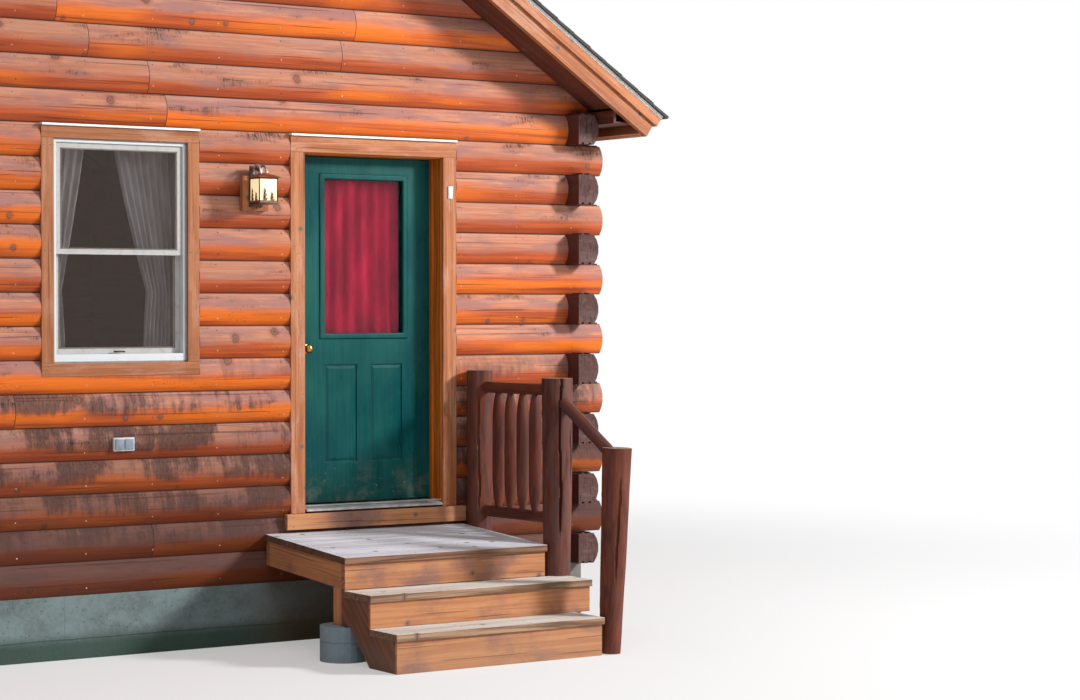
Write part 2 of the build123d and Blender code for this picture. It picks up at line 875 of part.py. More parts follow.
# Threshold of aluminium between the jambs, and the board under it
threshold_back = stop_from - door_gap
with BuildPart() as door_threshold:
    with BuildSketch(wall_plane(FRONT, door_centre - jamb_inner + seal_joint, z=floor_top)):
        with BuildLine():
            Polyline(
                (-threshold_nose, 0),
                (-threshold_nose, threshold_height / 3),
                (threshold_back - threshold_flat, threshold_height),
                (threshold_back, threshold_height),
                (threshold_back, 0),
                close=True,
            )
        make_face()
    extrude(amount=2 * (jamb_inner - seal_joint))
    fillet(door_threshold.edges().filter_by(Axis.X).group_by(Axis.Z)[-1], threshold_round)
door_threshold.part.label = "door_threshold"

with BuildPart() as door_sill_board:
    box_on_wall(FRONT, door_centre, 2 * (door_casing_outer + sill_board_side), sill_board_bottom,
                sill_board_top - seal_joint, -sill_board_thickness, -seal_joint)
door_sill_board.part.label = "door_sill_board"

# Door leaf with a glazed upper half and two raised panels
leaf_low = door_sill
lite_centre_z = door_head - lite_head - lite_height / 2


def door_plane(depth):
    return face_plane(FRONT, depth)


with BuildPart() as door_leaf:
    with BuildSketch(door_plane(door_face_depth)):
        with Locations((door_centre, leaf_low + door_height / 2)):
            Rectangle(door_width, door_height)
        with Locations((door_centre, lite_centre_z)):
            Rectangle(lite_width - 2 * lite_frame_lap, lite_height - 2 * lite_frame_lap,
                      mode=Mode.SUBTRACT)
    extrude(amount=-door_thickness)
    panel_x = (door_panel_gap + door_panel_width) / 2
    panel_z = leaf_low + door_panel_base + door_panel_height / 2
    for depth, inward in ((door_face_depth, -1), (door_inner_face, 1)):
        with BuildSketch(door_plane(depth)):
            with Locations((door_centre - panel_x, panel_z), (door_centre + panel_x, panel_z)):
                Rectangle(door_panel_width, door_panel_height)
                Rectangle(door_panel_width - 2 * door_panel_groove,
                          door_panel_height - 2 * door_panel_groove, mode=Mode.SUBTRACT)
        extrude(amount=inward * door_panel_recess, mode=Mode.SUBTRACT)
door_leaf.part.label = "door_leaf"

# Lite frame: a moulded ring on each face of the leaf
with BuildPart() as door_lite_frame:
    for depth, outward in ((door_face_depth - seal_joint, 1), (door_inner_face + seal_joint, -1)):
        with BuildSketch(door_plane(depth)):
            with Locations((door_centre, lite_centre_z)):
                Rectangle(lite_width, lite_height)
                Rectangle(lite_width - 2 * lite_frame_width, lite_height - 2 * lite_frame_width,
                          mode=Mode.SUBTRACT)
        extrude(amount=outward * lite_frame_stand)
    faces = door_lite_frame.faces().filter_by(Axis.Y).sort_by(Axis.Y)
    chamfer(faces[0].edges(), lite_frame_stand / 2)
    chamfer(faces[-1].edges(), lite_frame_stand / 2)
door_lite_frame.part.label = "door_lite_frame"

glass_middle = door_face_depth + door_thickness / 2
with BuildPart() as door_glass:
    glass_edge = lite_frame_lap + seal_joint
    box_on_wall(FRONT, door_centre, lite_width - 2 * glass_edge,
                lite_centre_z - lite_height / 2 + glass_edge,
                lite_centre_z + lite_height / 2 - glass_edge,
                glass_middle - glass_thickness / 2, glass_middle + glass_thickness / 2)
door_glass.part.label = "door_glass"

# Curtain panel fixed to the inner face of the door
curtain_from = door_inner_face + lite_frame_stand + 2 * seal_joint
with BuildPart() as door_curtain:
    box_on_wall(FRONT, door_centre, lite_width + 2 * door_curtain_lap,
                lite_centre_z - lite_height / 2 - door_curtain_below,
                lite_centre_z + lite_height / 2 + door_curtain_above,
                curtain_from, curtain_from + curtain_thickness)
door_curtain.part.label = "door_curtain"

# Knob: a rose, a neck and a round grip on each face
knob_x = door_centre - door_width / 2 + knob_backset
knob_z = leaf_low + knob_height


def knob_half(depth, outward):
    # Rose, neck, flared grip and crown on one face of the leaf
    neck_end = knob_rose_depth + knob_neck_length
    flare = (knob_stand - neck_end - knob_grip_length) / 2
    stations = (
        (0, knob_rose_radius), (knob_rose_depth, knob_rose_radius),
        (knob_rose_depth, knob_neck_radius), (neck_end, knob_neck_radius),
        (neck_end + flare, knob_radius), (neck_end + flare + knob_grip_length, knob_radius),
        (knob_stand, knob_crown_radius),
    )
    foot = (knob_x, front_y + depth, knob_z)
    tip = (knob_x, front_y + depth - outward * knob_stand, knob_z)
    round_in_flats(foot, tip, stations, knob_flats)


with BuildPart() as door_knob:
    knob_half(door_face_depth - seal_joint, 1)
    knob_half(door_inner_face + seal_joint, -1)
door_knob.part.label = "door_knob"

# Hinges: the pin stands just inside the inner face, at the gap on the right-hand side
pin_x = door_centre + door_width / 2 + door_gap / 2
pin_y = front_y + door_inner_face + hinge_pin_stand
hinge_places = (door_head - hinge_drop, leaf_low + door_height / 2, leaf_low + hinge_drop)
knuckle = hinge_height / 3
leaf_gap = door_gap / 2 - hinge_leaf_clearance

with BuildPart() as hinge_jamb_leaves:
    for z in hinge_places:
        with BuildSketch(Plane.XY.offset(z - hinge_height / 2)):
            with Locations((pin_x, pin_y)):
                RegularPolygon(hinge_pin_radius, hinge_pin_flats)
        extrude(amount=knuckle - swing_clearance)
        with BuildSketch(Plane.XY.offset(z + hinge_height / 6 + swing_clearance)):
            with Locations((pin_x, pin_y)):
                RegularPolygon(hinge_pin_radius, hinge_pin_flats)
        extrude(amount=knuckle - swing_clearance)
        with BuildSketch(Plane.XY.offset(z - hinge_height / 2)):
            with Locations((pin_x + leaf_gap - hinge_leaf_thickness / 2,
                            pin_y - hinge_leaf_width / 2)):
                Rectangle(hinge_leaf_thickness, hinge_leaf_width)
        extrude(amount=hinge_height)
        with BuildSketch(Plane.XY.offset(z - hinge_height / 6 - swing_clearance)):
            with Locations((pin_x, pin_y)):
                RegularPolygon(hinge_pin_radius + swing_clearance, hinge_pin_flats,
                               major_radius=False)
        extrude(amount=knuckle + 2 * swing_clearance, mode=Mode.SUBTRACT)
hinge_jamb_leaves.part.label = "hinge_jamb_leaves"

leaf_y = pin_y - hinge_pin_radius - hinge_knuckle_clearance
with BuildPart() as hinge_door_leaves:
    for z in hinge_places:
        with BuildSketch(Plane.XY.offset(z - hinge_height / 2)):
            with Locations((pin_x - leaf_gap + hinge_leaf_thickness / 2,
                            leaf_y - hinge_leaf_width / 2)):
                Rectangle(hinge_leaf_thickness, hinge_leaf_width)
        extrude(amount=hinge_height)
        with BuildSketch(Plane.XY.offset(z - hinge_height / 6)):
            with Locations((pin_x, pin_y)):
                RegularPolygon(hinge_pin_radius, hinge_pin_flats)
            with Locations((pin_x - leaf_gap + hinge_leaf_thickness / 2,
                            leaf_y)):
                Rectangle(hinge_leaf_thickness, 2 * hinge_pin_radius)
        extrude(amount=knuckle)
hinge_door_leaves.part.label = "hinge_door_leaves"


# Porch: everything follows the fall of its deck, d is the distance out from the wall
porch_wall_gap = seal_joint


def deck_z(d):
    return porch_top_at_wall - porch_fall * d / porch_depth


def side_plane(x):
    # Section plane across the porch: local x runs out from the wall, local y is up
    return Plane(origin=(x, front_y, 0), x_dir=(0, -1, 0), z_dir=(-1, 0, 0))


def board_across(x_from, x_to, points):
    # A piece that runs along X, from its section in (distance out, height) points
    extrude_outline(side_plane(x_to), points, x_to - x_from)


board_pitch = (porch_depth - porch_wall_gap + porch_board_gap) / porch_boards
board_width = board_pitch - porch_board_gap
with BuildPart() as porch_deck:
    for board in range(porch_boards):
        near = porch_wall_gap + board * board_pitch
        far = near + board_width
        board_across(porch_left, porch_right, [
            (near, deck_z(near)), (far, deck_z(far)),
            (far, deck_z(far) - board_thickness), (near, deck_z(near) - board_thickness)])
porch_deck.part.label = "porch_deck_boards"


def frame_top(d):
    return deck_z(d) - board_thickness


def frame_piece(x_from, x_to, near, far):
    board_across(x_from, x_to, [
        (near, frame_top(near)), (far, frame_top(far)),
        (far, frame_top(far) - frame_depth), (near, frame_top(near) - frame_depth)])


frame_left = porch_left + side_overhang
frame_right = porch_right - side_overhang
frame_front = porch_depth - frame_setback
joist_far = frame_front - frame_thickness - seal_joint
joist_near = frame_thickness + seal_joint + porch_wall_gap
joist_room = frame_right - frame_left - frame_thickness
joist_bays = ceil(joist_room / joist_spacing)
with BuildPart() as porch_frame:
    frame_piece(frame_left, frame_right, porch_wall_gap, porch_wall_gap + frame_thickness)
    frame_piece(frame_left, frame_right, frame_front - frame_thickness, frame_front)
    for bay in range(joist_bays + 1):
        joist_x = frame_left + bay * joist_room / joist_bays
        frame_piece(joist_x, joist_x + frame_thickness, joist_near, joist_far)
porch_frame.part.label = "porch_frame"

# Posts on round piers under the front corners of the porch
support_near = joist_far - support_post
support_places = (frame_left, frame_right - support_post - support_inset)
with BuildPart() as porch_posts:
    for place in support_places:
        board_across(place, place + support_post, [
            (support_near, support_pier_height), (support_near + support_post, support_pier_height),
            (support_near + support_post, frame_top(support_near + support_post) - frame_depth),
            (support_near, frame_top(support_near) - frame_depth)])
porch_posts.part.label = "porch_posts"

with BuildPart() as porch_piers:
    with BuildSketch(Plane.XY):
        for place in support_places:
            with Locations((place + support_post / 2, out(support_near + support_post / 2))):
                RegularPolygon(support_pier_radius, support_pier_flats)
    extrude(amount=support_pier_height)
porch_piers.part.label = "porch_piers"

# Steps: treads of two boards, risers and a stringer at each side
upper_tread_top = porch_top_at_wall - porch_fall - step_rise
lower_tread_top = upper_tread_top - step_rise
mid_post_x = porch_right + rail_mid_post_radius + rail_post_offset
mid_post_d = frame_front - mid_post_setback
mid_post_taper = (rail_mid_post_radius - rail_mid_post_foot) / rail_mid_post_top
mid_post_radius_at_tread = rail_mid_post_foot + mid_post_taper * upper_tread_top
upper_right = porch_right + upper_tread_extra
lower_right = porch_right + lower_tread_extra
steps = ((upper_tread_top, upper_nose, frame_front, upper_right),
         (lower_tread_top, lower_nose, upper_nose - frame_setback, lower_right))
with BuildPart() as stair_treads:
    for top, nose, back, right in steps:
        middle = (nose + back + seal_joint) / 2
        for near, far in ((back + seal_joint, middle - tread_boards_gap / 2),
                          (middle + tread_boards_gap / 2, nose)):
            board_across(porch_left, right, [
                (near, top), (far, top), (far, top - board_thickness), (near, top - board_thickness)])
    with BuildSketch(Plane.XY.offset(upper_tread_top - board_thickness)):
        with Locations((mid_post_x, out(mid_post_d))):
            Circle(mid_post_radius_at_tread + seal_joint)
    extrude(amount=board_thickness, mode=Mode.SUBTRACT)
stair_treads.part.label = "stair_treads"

with BuildPart() as stair_risers:
    for top, nose, back, right in steps:
        face = nose - frame_setback
        foot = lower_tread_top if top == upper_tread_top else 0
        board_across(porch_left + side_overhang, right - side_overhang, [
            (face - riser_thickness, top - board_thickness), (face, top - board_thickness),
            (face, foot), (face - riser_thickness, foot)])
stair_risers.part.label = "stair_risers"

pier_far = support_near + support_post / 2 + support_pier_radius + stringer_clearance
stringer_back = frame_front - frame_thickness
stringer_front_low = lower_nose - frame_setback - riser_thickness - seal_joint
stringer_front_high = upper_nose - frame_setback - riser_thickness - seal_joint
with BuildPart() as stair_stringers:
    for x_from in (porch_left + side_overhang, porch_right - side_overhang - frame_thickness):
        board_across(x_from, x_from + frame_thickness, [
            (stringer_back, frame_top(stringer_back) - frame_depth),
            (frame_front, frame_top(frame_front) - frame_depth),
            (frame_front, upper_tread_top - board_thickness),
            (stringer_front_high, upper_tread_top - board_thickness),
            (stringer_front_high, lower_tread_top - board_thickness),
            (stringer_front_low, lower_tread_top - board_thickness),
            (stringer_front_low, 0),
            (pier_far + stringer_slope_run, 0),
            (pier_far, support_pier_height + stringer_clearance),
            (stringer_back, support_pier_height + stringer_clearance)])
stair_stringers.part.label = "stair_stringers"


# Railing of peeled logs on the right-hand side
def log_between(foot, top, foot_radius, top_radius):
    length = (Vector(*top) - Vector(*foot)).length
    round_in_flats(foot, top, ((0, foot_radius), (length, top_radius)), peeled_log_flats)


wall_post_x = porch_right + rail_wall_post_radius - rail_post_notch
wall_post_d = rail_wall_post_radius + rail_wall_gap
newel_x = porch_right + lower_tread_extra + newel_foot + newel_gap
notch_near = wall_post_d - rail_wall_post_radius
notch_far = wall_post_d + rail_wall_post_radius
notch_depth = board_thickness + frame_depth
with BuildPart() as rail_posts:
    log_between((wall_post_x, out(wall_post_d), 0), (wall_post_x, out(wall_post_d), rail_wall_post_top),
                rail_wall_post_radius, rail_wall_post_radius)
    extrude_outline(side_plane(porch_right), [
        (notch_near, deck_z(notch_near)), (notch_far, deck_z(notch_far)),
        (notch_far, deck_z(notch_far) - notch_depth), (notch_near, deck_z(notch_near) - notch_depth)],
        rail_wall_post_radius, mode=Mode.SUBTRACT)
    log_between((mid_post_x, out(mid_post_d), 0), (mid_post_x, out(mid_post_d), rail_mid_post_top),
                rail_mid_post_foot, rail_mid_post_radius)
    log_between((newel_x, out(newel_d), 0), (newel_x + newel_lean, out(newel_d + newel_lean), newel_top),
                newel_foot, newel_radius)
    # The leaning post's foot is sawn level with the ground
    with Locations((newel_x, out(newel_d), 0)):
        Box(4 * newel_foot, 4 * newel_foot, 4 * cut_margin,
            align=(Align.CENTER, Align.CENTER, Align.MAX), mode=Mode.SUBTRACT)
rail_posts.part.label = "rail_posts"

# Rails and the sloping handrail run from post to post and are scribed to the round posts
wall_post_y = out(wall_post_d)
mid_post_y = out(mid_post_d)
handrail_head = rail_mid_post_top - handrail_below_mid_post
handrail_foot = newel_top - handrail_below_newel
newel_share = handrail_foot / newel_top
with BuildPart() as rails:
    for height in (rail_top_height, rail_low_height):
        log_between((wall_post_x, wall_post_y, height), (mid_post_x, mid_post_y, height),
                    rail_radius, rail_radius)
    log_between((mid_post_x, mid_post_y, handrail_head),
                (newel_x + newel_lean * newel_share, out(newel_d + newel_lean * newel_share), handrail_foot),
                handrail_radius, handrail_radius)
    add(rail_posts.part, mode=Mode.SUBTRACT)
rails.part.label = "rails"

with BuildPart() as balusters:
    rail_from = wall_post_d + rail_wall_post_radius
    rail_to = mid_post_d - rail_mid_post_radius
    span = rail_top_height - rail_low_height
    stations = ((0, baluster_tip), (baluster_taper, baluster_radius),
                (span - baluster_taper, baluster_radius), (span, baluster_tip))
    for place in range(baluster_count):
        d = rail_from + (rail_to - rail_from) * (place + 1) / (baluster_count + 1)
        x = wall_post_x + (mid_post_x - wall_post_x) * (d - wall_post_d) / (mid_post_d - wall_post_d)
        round_in_flats((x, out(d), rail_low_height), (x, out(d), rail_top_height), stations,
                       peeled_log_flats)
    add(rails.part, mode=Mode.SUBTRACT)
balusters.part.label = "balusters"

# Wall lantern: a block on the logs, a metal plate and body, and the glass inside
lantern_foot = floor_top + lantern_above_floor
lantern_centre = door_centre - lantern_left_of_door
socket_height = floor_top + socket_above_floor
lantern_z = lantern_foot + lantern_height / 2
with BuildPart() as lamp_block:
    box_on_wall(FRONT, lantern_centre, lantern_block_width, lantern_z - lantern_block_height / 2,
                lantern_z + lantern_block_height / 2, -lantern_block_thickness, -seal_joint)
lamp_block.part.label = "lamp_block"

plate_face = lantern_block_thickness + seal_joint
body_near = plate_face + lantern_plate_thickness + lantern_arm_length
body_middle = body_near + lantern_width / 2
lantern_top = lantern_foot + lantern_height
with BuildPart() as lamp_body:
    box_on_wall(FRONT, lantern_centre, lantern_plate_width, lantern_z - lantern_plate_height / 2,
                lantern_z + lantern_plate_height / 2, -(plate_face + lantern_plate_thickness), -plate_face)
    with BuildSketch(Plane.XY.offset(lantern_foot)):
        with Locations((lantern_centre, out(body_middle))):
            Rectangle(lantern_width, lantern_width)
    extrude(amount=lantern_bar)
    with BuildSketch(Plane.XY.offset(lantern_top - lantern_top_depth)):
        with Locations((lantern_centre, out(body_middle))):
            Rectangle(lantern_width + 2 * lantern_lip, lantern_width + 2 * lantern_lip)
        with Locations((lantern_centre, out((plate_face + body_middle) / 2))):
            Rectangle(lantern_arm_width, body_middle - plate_face)
    extrude(amount=lantern_lip)
    with BuildSketch(Plane.XY.offset(lantern_top - lantern_top_depth + lantern_lip)):
        with Locations((lantern_centre, out(body_middle))):
            Rectangle(lantern_width + 2 * lantern_lip, lantern_width + 2 * lantern_lip)
    extrude(amount=lantern_roof_height, taper=lantern_roof_taper)
    with BuildSketch(Plane.XY.offset(lantern_foot)):
        corner = (lantern_width - lantern_bar) / 2
        for dx in (corner, -corner):
            for dy in (corner, -corner):
                with Locations((lantern_centre + dx, out(body_middle + dy))):
                    Rectangle(lantern_bar, lantern_bar)
    extrude(amount=lantern_height)
lamp_body.part.label = "lamp_body"

lamp_glass_width = lantern_width - 2 * (lantern_bar + lantern_glass_gap)
with BuildPart() as lamp_glass:
    with BuildSketch(Plane.XY.offset(lantern_foot + lantern_bar + seal_joint)):
        with Locations((lantern_centre, out(body_middle))):
            Rectangle(lamp_glass_width, lamp_glass_width)
    extrude(amount=lantern_height - lantern_bar - lantern_top_depth - 2 * seal_joint)
lamp_glass.part.label = "lamp_glass"

with BuildPart() as socket_cover:
    box_on_wall(FRONT, socket_centre, socket_width, socket_height - socket_depth / 2,
                socket_height + socket_depth / 2, -socket_stand, -seal_joint)
    chamfer(socket_cover.faces().sort_by(Axis.Y)[0].edges(), socket_chamfer)
socket_cover.part.label = "socket_cover"

pieces = [
    front_wall, back_wall, left_wall, right_wall, foundation, floor_slab, roof_frame, roof_deck,
    roof_shingles, ridge_cap, fascia_boards, rake_trim, drip_edges, soffits, window_casings,
    drip_caps, window_frames, window_sashes, window_glass, window_curtains, door_casings,
    door_jambs, door_threshold, door_sill_board, door_leaf, door_lite_frame, door_glass,
    door_curtain, door_knob, hinge_jamb_leaves, hinge_door_leaves, porch_deck, porch_frame,
    porch_posts, porch_piers, stair_treads, stair_risers, stair_stringers, rail_posts, rails,
    balusters, lamp_block, lamp_body, lamp_glass, socket_cover,
]

os.makedirs("parts", exist_ok=True)
for piece in pieces:
    export_step(piece.part, f"parts/{piece.part.label}.step")
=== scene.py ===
import math
import random

import bmesh
import bpy
from mathutils import Matrix, Vector, noise


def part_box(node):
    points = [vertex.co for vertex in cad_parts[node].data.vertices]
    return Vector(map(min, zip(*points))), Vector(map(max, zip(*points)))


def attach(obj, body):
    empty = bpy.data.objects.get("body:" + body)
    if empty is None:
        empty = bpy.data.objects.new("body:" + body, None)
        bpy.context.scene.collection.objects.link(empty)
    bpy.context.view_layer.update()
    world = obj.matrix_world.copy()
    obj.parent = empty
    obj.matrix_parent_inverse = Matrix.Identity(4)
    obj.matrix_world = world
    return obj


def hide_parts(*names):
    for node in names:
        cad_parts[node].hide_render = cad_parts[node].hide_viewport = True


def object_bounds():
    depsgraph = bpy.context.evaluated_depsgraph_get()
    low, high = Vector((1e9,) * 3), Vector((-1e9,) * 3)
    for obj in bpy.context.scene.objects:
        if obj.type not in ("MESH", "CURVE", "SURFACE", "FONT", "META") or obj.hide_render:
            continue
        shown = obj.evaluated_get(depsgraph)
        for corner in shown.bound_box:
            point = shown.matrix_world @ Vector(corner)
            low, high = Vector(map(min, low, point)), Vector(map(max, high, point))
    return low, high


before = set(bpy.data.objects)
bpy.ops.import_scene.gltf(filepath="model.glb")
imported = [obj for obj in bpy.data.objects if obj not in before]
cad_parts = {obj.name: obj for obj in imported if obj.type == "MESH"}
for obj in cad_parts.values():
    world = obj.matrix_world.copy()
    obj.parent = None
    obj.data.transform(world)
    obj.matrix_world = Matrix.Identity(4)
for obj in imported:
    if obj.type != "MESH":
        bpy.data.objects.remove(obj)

bl_info = {
    "name": "Log cabin finish",
    "version": (1, 0, 0),
    "blender": (4, 5, 0),
    "location": "3D View > Sidebar > Log Cabin",
    "description": "Logs, roofing, trim, porch and fittings of a small log cabin",
    "category": "Object",
}

CAD_BOX = [list(map(float, corner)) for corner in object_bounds()]
CAD_CENTRE = (Vector(CAD_BOX[0]) + Vector(CAD_BOX[1])) / 2
WALL_LOW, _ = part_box("front_wall")
FRONT_Y = WALL_LOW.y
LOG_BASE = WALL_LOW.z

# Logs and nails
COURSE = 0.185
LOG_ROUND_DEPTH = 0.035
LOG_FLATS = 5
NAIL_COLUMN = 0.204
NAIL_MARGIN = 0.13
NAIL_SINK = 0.0004
NAIL_ROWS = ((0.042, "Pale nail head"), (0.160, "Nail head"))
NAILS_DARKENED = 0.2
CASING_REACH = 0.1
CASING_HEAD_REACH = 0.09
CASING_NAIL_STEP = 0.4
CASING_NAIL_INSET = 0.018
SIDE_WALL_TOP = 3.12

# Door panels, knob, contact cover and curtains
TIE_HEIGHT = 0.7
CLOTH_THICKNESS = 0.0006
PANEL_WIDTH = 0.215
PANEL_HEIGHT = 0.575
PANEL_GAP = 0.095
PANEL_BASE = 0.235
PANEL_RECESS = 0.007
PANEL_GROOVE = 0.022
CONTACT_LOW = (2.136, 2.585)
CONTACT_HIGH = (2.168, 2.661)
KNOB_OUTLINE = (
    (0.0, 0.062), (0.010, 0.0615), (0.018, 0.0585), (0.0245, 0.052), (0.027, 0.0445),
    (0.0255, 0.037), (0.020, 0.031), (0.013, 0.027), (0.0105, 0.022), (0.0105, 0.012),
    (0.0125, 0.0085), (0.024, 0.0068), (0.0315, 0.0045), (0.033, 0.002), (0.033, 0.0),
)

# Porch, railing and lantern
POST_CROWN = 0.026
NEWEL_FOOT = 0.062
NEWEL_HEAD = 0.086
NEWEL_LIFT = 0.0024
HANDRAIL_RADIUS = 0.036
CAD_RAIL_RADIUS = 0.028
DECK_BOARD = 0.038
LAMP_RAISE = 0.026

# Roof covering
PITCH = math.atan2(8, 12)
SHINGLE_THICKNESS = 0.018
TAB_JOINT = 0.003
TAB_LAP = 0.04
TAB_TILT = 0.0052
RIDGE_LAP = 0.03

# Stage
FLOOR_NEAR = 5.0
FLOOR_FAR = 11.0
FLOOR_GLOW = 0.35
SKY_STRENGTH = 0.33
LAMPS = (
    ("Key", (10.8, -12.4, 7.2), (0.8, -3.0, 1.6), 2.4, 2200.0),
    ("Fill", (-2.0, -13.0, 13.0), (0.0, -2.5, 1.5), 9.0, 330.0),
    ("Back", (3.0, 14.0, 11.0), (0.0, 2.0, 2.0), 8.0, 500.0),
)
CAMERA_PLACE = (-5.812, FRONT_Y - 12.774, 1.935)
CAMERA_TURN = math.radians(-34.0)
CAMERA_TILT = math.radians(90.0 - 0.98)
CAMERA_LENS = 83.4

UP = Vector((0, 0, 1))
ACROSS = Matrix.Rotation(math.pi / 2, 4, "Y")
BOARD_BLOCKS = (2.6, 11, 11)


def colour(red, green, blue):
    # A colour as a screen shows it, 0 to 255, as the linear values that Blender wants
    linear = []
    for value in (red, green, blue):
        share = value / 255
        linear.append(share / 12.92 if share <= 0.04045 else ((share + 0.055) / 1.055) ** 2.4)
    return (*linear, 1.0)


def finish_colour(name, description, red, green, blue):
    return bpy.props.FloatVectorProperty(
        name=name, description=description, subtype="COLOR", size=4, min=0.0, max=1.0,
        default=colour(red, green, blue),
    )


def length_setting(name, description, default):
    return bpy.props.FloatProperty(
        name=name, description=description, default=default, min=0.0, unit="LENGTH",
        subtype="DISTANCE",
    )


class CabinColours(bpy.types.PropertyGroup):
    """Colours of the cabin's finishes"""

    log_stain: finish_colour("Log stain", "Red-brown stain on the sheltered half", 208, 98, 46)
    log_stain_deep: finish_colour("Deep log stain", "Darker grain in the stain", 158, 70, 38)
    log_glow: finish_colour("Log glow", "Orange stain that is still fresh", 240, 122, 26)
    # Tints of the upper half, paler partly from weathering and partly from painted sky light
    log_salmon: finish_colour("Salmon log", "Faded stain on the weathered half", 196, 128, 98)
    log_weathered_and_sky_lit: finish_colour("Weathered log", "Paler streaks of the weathered half",
                                 202, 150, 124)
    log_bleached: finish_colour("Bleached log", "Purple-grey drifts on the logs", 160, 118, 112)
    # Painted highlight along the upper edge of each log
    log_crest_highlight: finish_colour("Log crest", "Upper edge of a log, open to the sky", 208, 162, 138)
    log_low_course: finish_colour("Low course log", "Lowest courses near the ground", 80, 40, 26)
    mould: finish_colour("Mould", "Black blotches and specks", 54, 42, 42)
    mould_dust: finish_colour("Mould dust", "Grey film round the mould", 108, 84, 80)
    knot: finish_colour("Knot", "Weathered knots in logs and boards", 118, 100, 90)
    log_end: finish_colour("Log end", "Sawn ends of the logs", 86, 60, 56)
    trim_stain: finish_colour("Trim stain", "Casings, fascia and other boards", 188, 124, 82)
    trim_stain_deep: finish_colour("Deep trim stain", "Darker grain in the boards", 156, 90, 56)
    deck_face: finish_colour("Deck boards", "Worn top of the deck boards", 226, 232, 244)
    deck_stain: finish_colour("Deck stain", "Orange stain left on the porch boards", 200, 142, 98)
    peeled_bark: finish_colour("Peeled log", "Stained posts and rails", 76, 33, 26)
    peeled_worn: finish_colour("Worn peeled log", "Pale streaks on posts and rails", 110, 72, 58)
    concrete: finish_colour("Concrete", "Foundation walls and piers", 116, 133, 135)
    shingle: finish_colour("Shingle", "Mineral face of the roofing", 84, 86, 86)
    white_paint: finish_colour("White metal", "Drip edges and caps", 240, 240, 240)
    vinyl: finish_colour("Vinyl", "Window frames and sashes", 218, 223, 226)
    door_paint: finish_colour("Door paint", "Painted door leaf", 0, 68, 70)
    door_worn: finish_colour("Worn door paint", "Sun-faded part of the door", 18, 92, 84)
    bronze: finish_colour("Bronze", "Lantern metal", 92, 60, 48)
    lamp_glass: finish_colour("Lamp glass", "Cream glass of the lantern", 255, 234, 184)
    curtain_red: finish_colour("Door curtain", "Crimson cloth behind the door glass", 216, 34, 76)
    curtain_sheer: finish_colour("Window curtain", "Sheer cloth in the window", 208, 214, 230)


class CabinSizes(bpy.types.PropertyGroup):
    """Sizes of the details that are added to the cabin"""

    nail_spacing: length_setting("Nail spacing", "Distance between nail columns on the logs",
                                 0.4064)
    nail_radius: length_setting("Nail radius", "Radius of a nail head", 0.0052)
    exposure: length_setting("Shingle exposure", "Visible depth of a shingle course", 0.143)
    tab_width: length_setting("Shingle width", "Width of one shingle tab", 0.305)
    edge_wear: length_setting("Edge wear", "Rounding of the edges of boards and logs", 0.0022)
    curtain_cut: length_setting("Curtain cut", "Flat width of the wide window curtain", 0.8)
    narrow_curtain_cut: length_setting("Narrow curtain cut", "Flat width of the other one", 0.42)
    door_curtain_cut: length_setting("Door curtain cut", "Flat width of the door curtain", 0.78)


# Finishes


class Value:
    """A node's output that takes part in sums as a number does"""

    def __init__(self, finish, socket):
        self.finish = finish
        self.socket = socket

    def __add__(self, other):
        return self.finish.calc("ADD", self, other)

    def __radd__(self, other):
        return self.finish.calc("ADD", other, self)

    def __sub__(self, other):
        return self.finish.calc("SUBTRACT", self, other)

    def __rsub__(self, other):
        return self.finish.calc("SUBTRACT", other, self)

    def __mul__(self, other):
        return self.finish.calc("MULTIPLY", self, other)

    def __rmul__(self, other):
        return self.finish.calc("MULTIPLY", other, self)

    def __truediv__(self, other):
        return self.finish.calc("DIVIDE", self, other)


